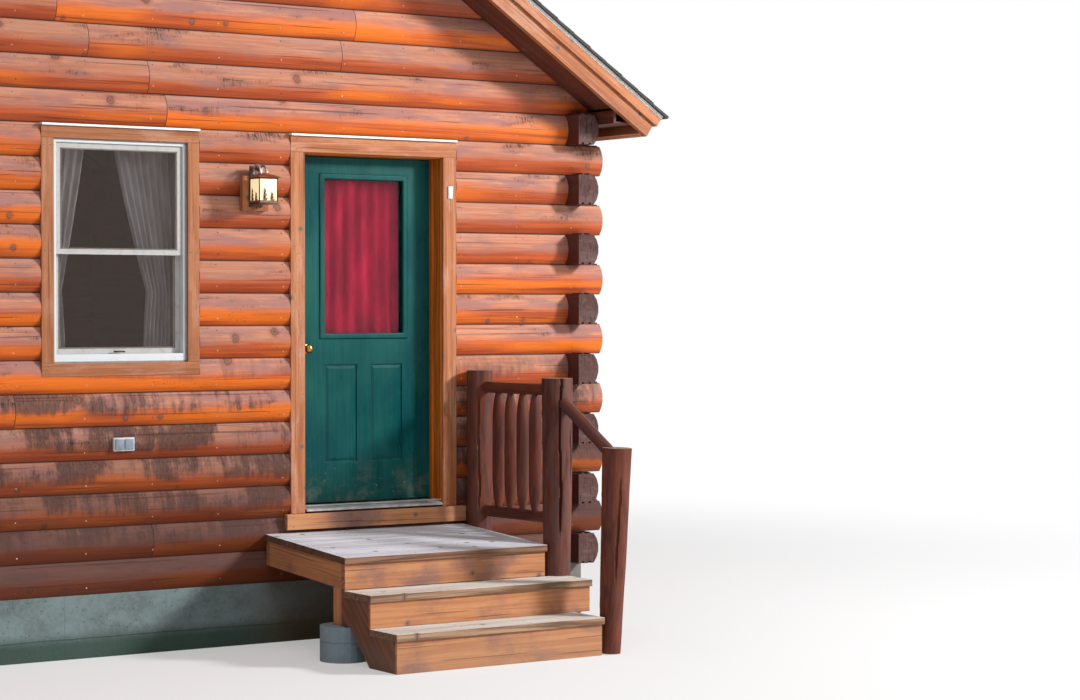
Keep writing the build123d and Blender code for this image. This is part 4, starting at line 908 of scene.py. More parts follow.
def box_of(points):
    # The lowest and the highest corner of the box round some points
    return tuple(Vector([pick(co[axis] for co in points) for axis in range(3)])
                 for pick in (min, max))


def solid_boxes(node):
    # Box of each separate solid of a node
    bm = node_copy(node)
    found = [box_of([vert.co for face in group for vert in face.verts]) for group in islands(bm)]
    bm.free()
    return sorted(found, key=lambda box: tuple(round(value, 4) for value in (*box[0], *box[1])))


def facing_of(low, high):
    # Which axis runs through the wall, which way is out and where the outer face lies
    thin = 0 if high.x - low.x < high.y - low.y else 1
    facing = 1.0 if ((low + high) / 2)[thin] > CAD_CENTRE[thin] else -1.0
    return thin, facing, high[thin] if facing > 0 else low[thin]


def add_block(bm, low, high, bevel=0.0, segments=2, material=0):
    # A block between two corners, its edges rounded
    low, high = Vector(low), Vector(high)
    stretch = Matrix.Diagonal((*(high - low), 1.0))
    made = bmesh.ops.create_cube(bm, size=1.0,
                                 matrix=Matrix.Translation((low + high) / 2) @ stretch)
    verts = made["verts"]
    for face in {face for vert in verts for face in vert.link_faces}:
        face.material_index = material
    if bevel > 0.0:
        edges = list(dict.fromkeys(edge for vert in verts for edge in vert.link_edges))
        bmesh.ops.bevel(bm, geom=edges, offset=bevel, segments=segments, profile=0.5,
                        affect="EDGES", material=-1)
    return verts


def add_rod(bm, centre, turn, radius, length, sides):
    # A round bar about its middle
    bmesh.ops.create_cone(bm, cap_ends=True, segments=sides, radius1=radius, radius2=radius,
                          depth=length, matrix=Matrix.Translation(centre) @ turn)


def add_nail(bm, centre, outward, radius, height=0.0016, sides=7):
    # A domed nail head standing on a surface
    turn = UP.rotation_difference(outward).to_matrix().to_4x4()
    placed = Matrix.Translation(Vector(centre) + outward * (height / 2 - NAIL_SINK)) @ turn
    bmesh.ops.create_cone(bm, cap_ends=True, segments=sides, radius1=radius, radius2=radius * 0.6,
                          depth=height, matrix=placed)


def spun(bm, outline, centre, axis, steps):
    # A turned shape from points of (radius, distance along the axis)
    axis = Vector(axis).normalized()
    side = axis.orthogonal().normalized()
    centre = Vector(centre)
    verts = [bm.verts.new(centre + side * radius + axis * reach) for radius, reach in outline]
    edges = [bm.edges.new(pair) for pair in zip(verts, verts[1:])]
    before = set(bm.faces)
    bmesh.ops.spin(bm, geom=verts + edges, cent=centre, axis=axis, angle=2 * math.pi, steps=steps,
                   use_merge=True, dvec=(0, 0, 0))
    made = [face for face in bm.faces if face not in before]
    ring = list({vert for face in made for vert in face.verts})
    bmesh.ops.remove_doubles(bm, verts=ring, dist=1e-5)
    made = [face for face in bm.faces if face not in before]
    bmesh.ops.recalc_face_normals(bm, faces=made)


def paint(faces, layer, value):
    # One value for all corners of these faces
    for face in faces:
        for loop in face.loops:
            loop[layer] = value


# Logs


def mark_logs(bm, node, along, outward, seed):
    place, tone, cut = surface_layers(bm, "log_place", "log_tone")
    low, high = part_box(node)
    outer = max(low.dot(outward), high.dot(outward))
    dice = random.Random(seed)
    for group in sorted(islands(bm), key=lambda faces: tuple(
            round(value, 4) for value in faces[0].calc_center_median())):
        heights = [vert.co.z for face in group for vert in face.verts]
        middle = (min(heights) + max(heights)) / 2
        base = LOG_BASE + math.floor((middle - LOG_BASE) / COURSE) * COURSE
        shift = dice.uniform(0, 60)
        shade = dice.random()
        for face in group:
            ended = 1.0 if abs(face.normal.dot(along)) > 0.8 else 0.0
            for loop in face.loops:
                co = loop.vert.co
                depth = outer - co.dot(outward)
                loop[place] = Vector((co.dot(along) + shift, co.z - base, depth))
                loop[tone] = shade
                loop[cut] = ended


WALLS = (
    ("front_wall", "front_logs", Vector((1, 0, 0)), Vector((0, -1, 0))),
    ("back_wall", "back_logs", Vector((1, 0, 0)), Vector((0, 1, 0))),
    ("left_wall", "left_logs", Vector((0, 1, 0)), Vector((-1, 0, 0))),
    ("right_wall", "right_logs", Vector((0, 1, 0)), Vector((1, 0, 0))),
)


class CABIN_OT_logs(bpy.types.Operator):
    """Lay the four walls of stained logs"""

    bl_idname = "cabin.logs"
    bl_label = "Log walls"

    def execute(self, context):
        for seed, (node, name, along, outward) in enumerate(WALLS):
            bm = node_copy(node)
            mark_logs(bm, node, along, outward, 11 + seed)
            make_piece(bm, name, "cabin", "log_wood", ["Stained log"], (node,), angle=30,
                       wear=sizes().edge_wear)
        return {"FINISHED"}


def openings_of(outward):
    # Boxes of the windows and the door in the wall that faces this way
    boxes = []
    for low, high in solid_boxes("window_frames"):
        thin, facing, _ = facing_of(low, high)
        if facing * outward[thin] > 0.5:
            boxes.append((low, high))
    if outward.y < -0.5:
        boxes.append(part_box("door_jambs"))
    return boxes


def log_surface(height_in_course):
    # Depth and lean of a log's planed face at a height in its course
    radius = ((COURSE / 2) ** 2 + LOG_ROUND_DEPTH ** 2) / (2 * LOG_ROUND_DEPTH)
    half = math.asin(COURSE / 2 / radius)
    sag = radius * (1 - math.cos(half * (LOG_FLATS % 2) / LOG_FLATS))
    stretch = LOG_ROUND_DEPTH / (LOG_ROUND_DEPTH - sag)
    corners = []
    for place in range(LOG_FLATS + 1):
        angle = half * (2 * place / LOG_FLATS - 1)
        depth = (radius * (1 - math.cos(angle)) - sag) * stretch
        corners.append((depth, COURSE / 2 + radius * math.sin(angle)))
    for (low_depth, low), (high_depth, high) in zip(corners, corners[1:]):
        if height_in_course <= high:
            break
    share = (height_in_course - low) / (high - low)
    lean = math.atan2(high_depth - low_depth, high - low)
    return low_depth + (high_depth - low_depth) * share, lean


class CABIN_OT_nails(bpy.types.Operator):
    """Drive the nails that hold the logs"""

    bl_idname = "cabin.nails"
    bl_label = "Nail heads"

    def execute(self, context):
        dice = random.Random(5)
        shades = {"Nail head": bmesh.new(), "Pale nail head": bmesh.new()}
        spacing = sizes().nail_spacing
        radius = sizes().nail_radius
        for node, _, along, outward in WALLS:
            low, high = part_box(node)
            centre = NAIL_COLUMN if node == "front_wall" else (low + high).dot(along) / 2
            room = centre - low.dot(along) - NAIL_MARGIN
            first = centre - spacing * math.floor(room / spacing)
            outer = max(low.dot(outward), high.dot(outward))
            blocked = openings_of(outward)
            courses = round((high.z - LOG_BASE) / COURSE)
            columns = int((high.dot(along) - NAIL_MARGIN - first) / spacing) + 1
            for course in range(courses):
                base = LOG_BASE + course * COURSE
                for column in range(columns):
                    reach = first + column * spacing + dice.uniform(-0.012, 0.012)
                    for height, shade in NAIL_ROWS:
                        if dice.random() < NAILS_DARKENED:
                            shade = "Nail head"
                        z = base + height + dice.uniform(-0.006, 0.006)
                        if base + COURSE > SIDE_WALL_TOP:
                            roof_z = self.roof_height(abs(reach))
                            if node not in ("front_wall", "back_wall") or z > roof_z - 0.03:
                                continue
                        if any(box_low.dot(along) - CASING_REACH < reach
                               < box_high.dot(along) + CASING_REACH
                               and box_low.z - CASING_REACH < z < box_high.z + CASING_HEAD_REACH
                               for box_low, box_high in blocked):
                            continue
                        depth, angle = log_surface(z - base)
                        facing = outward * math.cos(angle) + UP * math.sin(angle)
                        spot = along * reach + outward * (outer - depth - NAIL_SINK)
                        spot.z = z
                        add_nail(shades[shade], spot, facing, radius * dice.uniform(0.8, 1.15))
        for (shade, bm), name in zip(shades.items(), ("log_nails", "pale_log_nails")):
            make_piece(bm, name, "cabin", "log_wood", [shade])
        return {"FINISHED"}

    def roof_height(self, reach):
        _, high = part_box("soffits")
        return high.z - 0.03 - reach * math.tan(PITCH)


class CABIN_OT_boards(bpy.types.Operator):
    """Fit the casings, fascia boards, trim, soffits and jambs"""

    bl_idname = "cabin.boards"
    bl_label = "Boards and trim"

    def execute(self, context):
        dress_boards(31, (
            ("window_casings", "window_casing_boards", "trim_wood", "Stained trim"),
            ("door_casings", "door_casing_boards", "trim_wood", "Stained trim"),
            ("fascia_boards", "fascia_planks", "trim_wood", "Stained trim"),
            ("rake_trim", "shadow_boards", "trim_wood", "Stained trim"),
            ("soffits", "soffit_boards", "trim_wood", "Soffit board", 0.001),
            ("door_jambs", "door_jamb_boards", "trim_wood", "Varnished jamb"),
            ("door_sill_board", "sill_plank", "trim_wood", "Porch board"),
            ("lamp_block", "lantern_block", "trim_wood", "Stained trim"),
            ("roof_frame", "rafters", "frame_wood", "Sawn board", 0.0),
            ("roof_deck", "roof_boards", "board_wood", "Sawn board", 0.0),
        ))
        finish_node("floor", "Floor board")
        self.casing_nails()
        return {"FINISHED"}

    def casing_nails(self):
        # Pairs of nails about 0.4 m apart along each casing board
        bm = bmesh.new()
        for node in ("window_casings", "door_casings", "door_sill_board"):
            for low, high in solid_boxes(node):
                size = high - low
                thin, facing, outer = facing_of(low, high)
                long = max(range(3), key=lambda axis: size[axis])
                wide = 3 - thin - long
                if size[wide] < 0.05 or size.z < size[thin]:
                    continue
                outward = Vector()
                outward[thin] = facing
                count = max(2, round(size[long] / CASING_NAIL_STEP))
                for place in range(count):
                    for offset in (CASING_NAIL_INSET, size[wide] - CASING_NAIL_INSET):
                        spot = low.copy()
                        spot[long] += 0.04 + (size[long] - 0.08) * place / (count - 1)
                        spot[wide] += offset
                        spot[thin] = outer
                        add_nail(bm, spot, outward, 0.0034)
        make_piece(bm, "casing_nails", "cabin", "trim_wood", ["Nail head"])


# Roof covering


def slope_frame(side):
    # Foot of the shingles' top face at the eave, up-slope and outward directions, the slope's
    # length and its two ends along the eave
    low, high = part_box("roof_shingles")
    foot = Vector((side * high.x, 0, low.z + SHINGLE_THICKNESS * math.cos(PITCH)))
    up = Vector((-side * math.cos(PITCH), 0, math.sin(PITCH)))
    normal = Vector((side * math.sin(PITCH), 0, math.cos(PITCH)))
    length = (high.x - 0.02) / math.cos(PITCH)
    return foot, up, normal, length, low.y, high.y


def slope_block(bm, frame_of, along_low, along_high, s_low, s_high, t_low, t_high, tilt=0.0):
    # A block that lies on the slope, its upper end sunk by tilt
    foot, up, normal = frame_of
    made = bmesh.ops.create_cube(bm, size=1.0)
    for vert in made["verts"]:
        s = s_high if vert.co.x > 0 else s_low
        y = along_high if vert.co.y > 0 else along_low
        t = (t_high if vert.co.z > 0 else t_low) - (tilt if vert.co.x > 0 else 0.0)
        vert.co = foot + up * s + normal * t + Vector((0, y, 0))
    return made["verts"]


class CABIN_OT_roof(bpy.types.Operator):
    """Cover the roof with shingles, cap its ridge and trim its edges with metal"""

    bl_idname = "cabin.roof"
    bl_label = "Roof covering"

    def execute(self, context):
        dice = random.Random(17)
        exposure = sizes().exposure
        width = sizes().tab_width
        bm = bmesh.new()
        tone = bm.loops.layers.float.new("board_tone")
        for side in (1, -1):
            foot, up, normal, length, y_low, y_high = slope_frame(side)
            frame_of = (foot, up, normal)
            slope_block(bm, frame_of, y_low + 0.002, y_high - 0.002, 0.0, length, -0.0178, -0.0095)
            courses = math.ceil(length / exposure)
            for course in range(courses):
                s_low = course * exposure
                s_high = min(length, s_low + exposure + TAB_LAP)
                reach = y_low - (course % 2) * width / 2
                while reach < y_high:
                    start = max(y_low, reach + TAB_JOINT)
                    end = min(y_high, reach + width - TAB_JOINT)
                    reach += width
                    if end - start < 0.02:
                        continue
                    lift = dice.uniform(0.0, 0.0009)
                    verts = slope_block(bm, frame_of, start, end, s_low, s_high,
                                        -0.0058 - lift, -0.0004 - lift, TAB_TILT)
                    faces = {face for vert in verts for face in vert.link_faces}
                    paint(faces, tone, dice.random())
        bmesh.ops.recalc_face_normals(bm, faces=bm.faces)
        make_piece(bm, "shingle_courses", "cabin", "shingle", ["Roof shingle"], ("roof_shingles",))
        self.cap(dice, exposure)
        finish_node("drip_edges", "White metal")
        return {"FINISHED"}

    def cap(self, dice, exposure):
        low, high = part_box("ridge_cap")
        half = high.x
        bm = bmesh.new()
        tone = bm.loops.layers.float.new("board_tone")
        count = math.ceil((high.y - low.y) / exposure)
        drop = half * math.tan(PITCH)
        top = high.z - 0.0002
        for place in range(count):
            y_low = low.y + place * exposure
            y_high = min(high.y, y_low + exposure + RIDGE_LAP)
            line = [(-half, top - drop), (0.0, top), (half, top - drop)]
            verts = [bm.verts.new((x, y_low, z)) for x, z in line]
            edges = [bm.edges.new(pair) for pair in zip(verts, verts[1:])]
            grown = bmesh.ops.extrude_edge_only(bm, edges=edges)["geom"]
            for vert in grown:
                if isinstance(vert, bmesh.types.BMVert):
                    vert.co += Vector((0, y_high - y_low, -0.0028))
            faces = [item for item in grown if isinstance(item, bmesh.types.BMFace)]
            for face in faces:
                if face.normal.z < 0:
                    face.normal_flip()
            shell = bmesh.ops.solidify(bm, geom=faces, thickness=0.0042)["geom"]
            whole = set(faces) | {item for item in shell if isinstance(item, bmesh.types.BMFace)}
            paint(whole, tone, dice.random())
        bmesh.ops.recalc_face_normals(bm, faces=bm.faces)
        make_piece(bm, "ridge_shingles", "cabin", "shingle", ["Roof shingle"], ("ridge_cap",))


# Windows


def hanging_cloth(name, body, slot, finish_name, corners, flat, folds, shape,
                  seed, replaced=(), swell=0.016):
    # A gathered curtain: rows go down, columns go across, folds stand out along the normal
    origin, across, normal, height = corners
    cloth_width, cloth_length = flat
    dice = random.Random(seed)
    phase = [dice.uniform(-0.35, 0.35) for _ in range(folds + 2)]
    columns, rows = folds * 10, 46
    bm = bmesh.new()
    made = bmesh.ops.create_grid(bm, x_segments=columns, y_segments=rows, size=0.5)
    place = bm.loops.layers.float_vector.new("cloth_place")
    own = {}
    for vert in made["verts"]:
        u, v = vert.co.x + 0.5, 0.5 - vert.co.y
        own[vert] = (u, v)
        left, width, lift = shape(v)
        swing = phase[int(u * folds)] * (1 - u) + phase[int(u * folds) + 1] * u
        share = max(0.02, width / cloth_width)
        amplitude = width / (2 * math.pi * folds) * math.sqrt(max(0.0, 2 * (1 / share ** 2 - 1)))
        wave = math.sin(2 * math.pi * folds * u + swing + 0.6 * math.sin(3.1 * v + swing))
        side = left + width * u
        z = -height * v + lift * u * u * v
        depth = min(amplitude, swell) * wave
        vert.co = origin + across * side + normal * depth + Vector((0, 0, z))
    for face in bm.faces:
        for loop in face.loops:
            u, v = own[loop.vert]
            loop[place] = Vector((u * cloth_width, v * cloth_length, 0))
    bmesh.ops.recalc_face_normals(bm, faces=bm.faces)
    piece = make_piece(bm, name, body, slot, [finish_name], replaced, angle=180)
    thick = piece.modifiers.new("Cloth", "SOLIDIFY")
    thick.thickness = CLOTH_THICKNESS
    thick.offset = 0.0


class CABIN_OT_windows(bpy.types.Operator):
    """Finish the windows, their latches and the curtains"""

    bl_idname = "cabin.windows"
    bl_label = "Windows"

    def execute(self, context):
        finish_node("window_frames", "Window vinyl", 0.0025)
        finish_node("window_sashes", "Window sash", 0.0018)
        finish_node("window_glass", "Window pane")
        finish_node("drip_caps", "White metal")
        self.fittings()
        self.curtains()
        return {"FINISHED"}

    def fittings(self):
        # A step along each frame, a bead round each pane in a dark finish that paints a shadow
        # line, and a latch on each lower rail
        steps, beads, latches = bmesh.new(), bmesh.new(), bmesh.new()
        for low, high in solid_boxes("window_sashes"):
            self.edging(beads, low, high, 0.0325, 0.0022)
        for low, high in solid_boxes("window_frames"):
            self.edging(steps, low, high, 0.0115, 0.0024)
            thin, facing, outer = facing_of(low, high)
            wide = 1 - thin
            middle = (low + high) / 2
            block_low, block_high = middle.copy(), middle.copy()
            block_low[wide] -= 0.034
            block_high[wide] += 0.034
            reach = outer - facing * 0.012
            block_low[thin], block_high[thin] = sorted((reach, reach - facing * 0.012))
            block_low.z, block_high.z = low.z + 0.062, low.z + 0.072
            add_block(latches, block_low, block_high, 0.003)
        make_piece(steps, "window_steps", "cabin", "white_vinyl", ["Window step"])
        make_piece(beads, "window_beads", "cabin", "white_vinyl", ["Window bead"])
        make_piece(latches, "window_latches", "cabin", "bronze_metal", ["Bronze"])

    def edging(self, bm, low, high, inset, stand, half=0.0035):
        # Four strips along the sides of a frame, standing a little proud of its face
        thin, facing, outer = facing_of(low, high)
        wide = 1 - thin
        for axis, other in ((wide, 2), (2, wide)):
            for edge in (low[axis] + inset, high[axis] - inset):
                block_low, block_high = low.copy(), high.copy()
                block_low[thin], block_high[thin] = sorted((outer, outer + facing * stand))
                block_low[axis], block_high[axis] = edge - half, edge + half
                block_low[other] = low[other] + inset - half
                block_high[other] = high[other] - inset + half
                add_block(bm, block_low, block_high, 0.0008, 1)

    def curtains(self):
        low, high = box_of([corner for box in solid_boxes("window_curtains") for corner in box])
        depth = low.y + 0.012
        rod = bmesh.new()
        middle = Vector(((low.x + high.x) / 2, depth, high.z - 0.012))
        add_rod(rod, middle, ACROSS, 0.006, high.x - low.x, 16)
        make_piece(rod, "curtain_rod", "cabin", "white_metal", ["White metal"])
        height = high.z - low.z - 0.02
        for name, start, direction, cut, widths, folds, replaced in (
                ("curtain_left", low.x + 0.01, 1.0, sizes().narrow_curtain_cut,
                 (0.29, 0.15, 0.17), 6, ("window_curtains",)),
                ("curtain_right", high.x - 0.01, -1.0, sizes().curtain_cut,
                 (0.4, 0.2, 0.22), 9, ())):
            origin = Vector((start, depth, high.z - 0.006))
            hanging_cloth(name, "cabin", "curtain_white", "Sheer cloth",
                          (origin, Vector((direction, 0, 0)), Vector((0, 1, 0)), height),
                          (cut, height), folds, self.tied(*widths),
                          3, replaced)

    def tied(self, at_rod, at_tie, at_hem):
        # Full width at the rod, drawn in at the tie, a little wider again at the hem
        def shape(v):
            if v < TIE_HEIGHT:
                drawn = at_rod + (at_tie - at_rod) * (v / TIE_HEIGHT) ** 1.15
            else:
                fall = (v - TIE_HEIGHT) / (1 - TIE_HEIGHT)
                drawn = at_tie + (at_hem - at_tie) * math.sin(fall * math.pi / 2)
            return 0.0, drawn, 0.03

        return shape


# Door


class CABIN_OT_door(bpy.types.Operator):
    """Finish the door, its curtain, knob, hinges, threshold and seals"""

    bl_idname = "cabin.door"
    bl_label = "Door"

    def execute(self, context):
        finish_node("door_leaf", "Door paint", 0.0015)
        finish_node("door_lite_frame", "Door paint", 0.006, 3)
        finish_node("door_glass", "Door pane")
        finish_node("door_threshold", "Mill aluminium", 0.0015)
        finish_node("hinge_jamb_leaves", "Dull steel")
        finish_node("hinge_door_leaves", "Dull steel")
        self.panels()
        self.curtain()
        self.knob()
        self.seals()
        return {"FINISHED"}

    def panels(self):
        # A sloped moulding leads from the groove round each panel up to its raised field
        leaf_low, leaf_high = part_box("door_leaf")
        middle = (leaf_low.x + leaf_high.x) / 2
        base = leaf_low.z + PANEL_BASE
        bm = bmesh.new()
        for side in (-1, 1):
            for face, inward in ((leaf_low.y, 1), (leaf_high.y, -1)):
                centre = middle + side * (PANEL_GAP + PANEL_WIDTH) / 2
                rings = []
                for inset, depth in ((0.006, PANEL_RECESS + 0.0005), (PANEL_GROOVE, 0.0004),
                                     (PANEL_GROOVE, PANEL_RECESS + 0.0005)):
                    half = PANEL_WIDTH / 2 - inset
                    y = face + inward * depth
                    corners = ((-half, inset), (half, inset), (half, PANEL_HEIGHT - inset),
                               (-half, PANEL_HEIGHT - inset))
                    rings.append([bm.verts.new((centre + x, y, base + z)) for x, z in corners])
                for first, second in zip(rings, rings[1:] + rings[:1]):
                    for place in range(4):
                        after = (place + 1) % 4
                        bm.faces.new((first[place], first[after], second[after], second[place]))
        bmesh.ops.recalc_face_normals(bm, faces=bm.faces)
        make_piece(bm, "door_panel_moulds", "door", "door_paint", ["Door paint"])

    def curtain(self):
        low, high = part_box("door_curtain")
        width, height = high.x - low.x, high.z - low.z
        cut = sizes().door_curtain_cut
        rods = bmesh.new()
        depth = (low.y + high.y) / 2
        for z in (low.z + 0.012, high.z - 0.012):
            add_rod(rods, Vector(((low.x + high.x) / 2, depth, z)), ACROSS, 0.003, width, 12)
        make_piece(rods, "door_curtain_rods", "door", "brass", ["Polished brass"])

        def straight(v):
            waist = 0.02 * math.sin(math.pi * v)
            return waist / 2, width - waist, 0.0

        hanging_cloth("door_curtain_cloth", "door", "curtain_red", "Crimson cloth",
                      (Vector((low.x, depth, high.z)), Vector((1, 0, 0)), Vector((0, 1, 0)),
                       height),
                      (cut, height), 7, straight, 9,
                      ("door_curtain",), 0.009)

    def knob(self):
        low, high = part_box("door_knob")
        leaf_low, leaf_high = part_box("door_leaf")
        centre_x, centre_z = (low.x + high.x) / 2, (low.z + high.z) / 2
        bm = bmesh.new()
        for depth, direction in ((leaf_low.y, -1), (leaf_high.y, 1)):
            spun(bm, KNOB_OUTLINE, (centre_x, depth, centre_z), (0, direction, 0), 48)
        make_piece(bm, "knob_set", "door", "brass", ["Polished brass"], ("door_knob",), angle=50)

    def seals(self):
        # A pale seal along the closing jamb, a white contact cover and ribs on the threshold
        _, jamb_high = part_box("door_jambs")
        leaf_low, leaf_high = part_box("door_leaf")
        bm = bmesh.new()
        add_block(bm, (jamb_high.x - 0.0395, leaf_low.y - 0.018, leaf_low.z + 0.02),
                  (jamb_high.x - 0.0325, leaf_low.y - 0.012, leaf_high.z - 0.02), 0.001)
        make_piece(bm, "jamb_seal", "cabin", "white_plastic", ["Seal rubber"])
        cover = bmesh.new()
        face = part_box("door_casings")[0].y
        add_block(cover, (CONTACT_LOW[0], face - 0.008, CONTACT_LOW[1]),
                  (CONTACT_HIGH[0], face, CONTACT_HIGH[1]), 0.003, 3)
        make_piece(cover, "contact_cover", "cabin", "white_plastic", ["Socket plastic"])
        ribs = bmesh.new()
        low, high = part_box("door_threshold")
        for place in range(5):
            y = low.y + 0.012 + place * 0.011
            add_block(ribs, (leaf_low.x, y, high.z - 0.0006),
                      (leaf_high.x, y + 0.004, high.z + 0.0012), 0.0005, 1)
        make_piece(ribs, "threshold_ribs", "cabin", "aluminium", ["Mill aluminium"])


# Porch


class CABIN_OT_porch(bpy.types.Operator):
    """Lay the porch boards, its frame, posts and steps"""

    bl_idname = "cabin.porch"
    bl_label = "Porch and steps"

    def execute(self, context):
        dress_boards(51, (
            ("porch_deck_boards", "deck_planks", "deck_wood", "Worn deck board"),
            ("porch_frame", "porch_joists", "deck_wood", "Porch board"),
            ("porch_posts", "porch_legs", "deck_wood", "Porch board"),
            ("stair_treads", "tread_planks", "deck_wood", "Stair tread"),
            ("stair_risers", "riser_boards", "deck_wood", "Porch board"),
            ("stair_stringers", "stringer_boards", "deck_wood", "Skirt board"),
        ))
        finish_node("porch_piers", "Poured concrete")
        self.screws()
        return {"FINISHED"}

    def screws(self):
        # Pairs of screws at four places along each deck board and tread
        bm = bmesh.new()
        for node in ("porch_deck_boards", "stair_treads"):
            for low, high in solid_boxes(node):
                for share in (0.03, 0.35, 0.65, 0.97):
                    x = low.x + (high.x - low.x) * share
                    for edge in (0.03, high.y - low.y - 0.03):
                        y = low.y + edge
                        rise = (high.z - low.z - DECK_BOARD) * (edge / (high.y - low.y))
                        base = low.z + DECK_BOARD + max(0.0, rise)
                        add_nail(bm, (x, y, base), UP, 0.0042, 0.0012)
        make_piece(bm, "deck_screws", "cabin", "deck_wood", ["Nail head"])


def peeled_log(bm, foot, top, radii, seed, around, cracks=()):
    # A hand-peeled pole: a cone cut into rows, then moved in and out by knots, bumps and cracks
    foot, top = Vector(foot), Vector(top)
    line = top - foot
    length = line.length
    along = line.normalized()
    rows = max(8, round(length / 0.03))
    surface_layers(bm)
    done = own_layer(bm.verts.layers.int, "pole_done")
    for vert in bm.verts:
        vert[done] = 1
    made = bmesh.ops.create_cone(bm, cap_ends=True, segments=around, radius1=1.0, radius2=1.0,
                                 depth=1.0)
    uprights = [edge for vert in made["verts"] for edge in vert.link_edges
                if abs(edge.verts[0].co.z - edge.verts[1].co.z) > 0.5]
    bmesh.ops.subdivide_edges(bm, edges=list(dict.fromkeys(uprights)), cuts=rows)
    verts = [vert for vert in bm.verts if vert[done] == 0]
    dice = random.Random(seed)
    bumps = [(dice.uniform(0, length), dice.uniform(0, 2 * math.pi), dice.uniform(0.003, 0.008))
             for _ in range(max(2, round(length * 5)))]
    turn = UP.rotation_difference(along).to_matrix()
    for vert in verts:
        angle = math.atan2(vert.co.y, vert.co.x)
        height = (vert.co.z + 0.5) * length
        radius = radii[-1][1]
        for (near, near_radius), (far, far_radius) in zip(radii, radii[1:]):
            if near <= height <= far + 1e-9:
                share = (height - near) / max(1e-9, far - near)
                radius = near_radius + (far_radius - near_radius) * share
                break
        spot = Vector((math.cos(angle) * 1.3, math.sin(angle) * 1.3, height * 2.6 + seed))
        change = noise.noise(spot) * 0.045 + noise.noise(spot * 3.1) * 0.016 - 0.03
        move = radius * change
        for at, way, size in bumps:
            turned = math.remainder(angle - way, 2 * math.pi) * radius
            gap = math.hypot(turned, height - at)
            if gap < 0.06:
                move += size * radius / 0.09 * math.exp(-(gap / 0.022) ** 2)
        for way, low, high, half, depth in cracks:
            if low < height < high:
                wander = 0.05 * math.sin(height * 9.0) + 0.02 * math.sin(height * 31.0)
                turned = abs(math.remainder(angle - way - wander, 2 * math.pi)) * radius
                taper = min(1.0, (height - low) / 0.08, (high - height) / 0.08)
                if turned < half * (0.4 + 0.6 * taper):
                    move -= depth * taper
        reach = min(radius + move, radius * 1.02)
        vert.co = foot + turn @ Vector((math.cos(angle) * reach, math.sin(angle) * reach, height))
    faces = list(dict.fromkeys(face for vert in verts for face in vert.link_faces))
    bmesh.ops.recalc_face_normals(bm, faces=faces)
    bm.faces.index_update()
    mark_board(bm, faces, along, random.Random(seed + 100), foot)


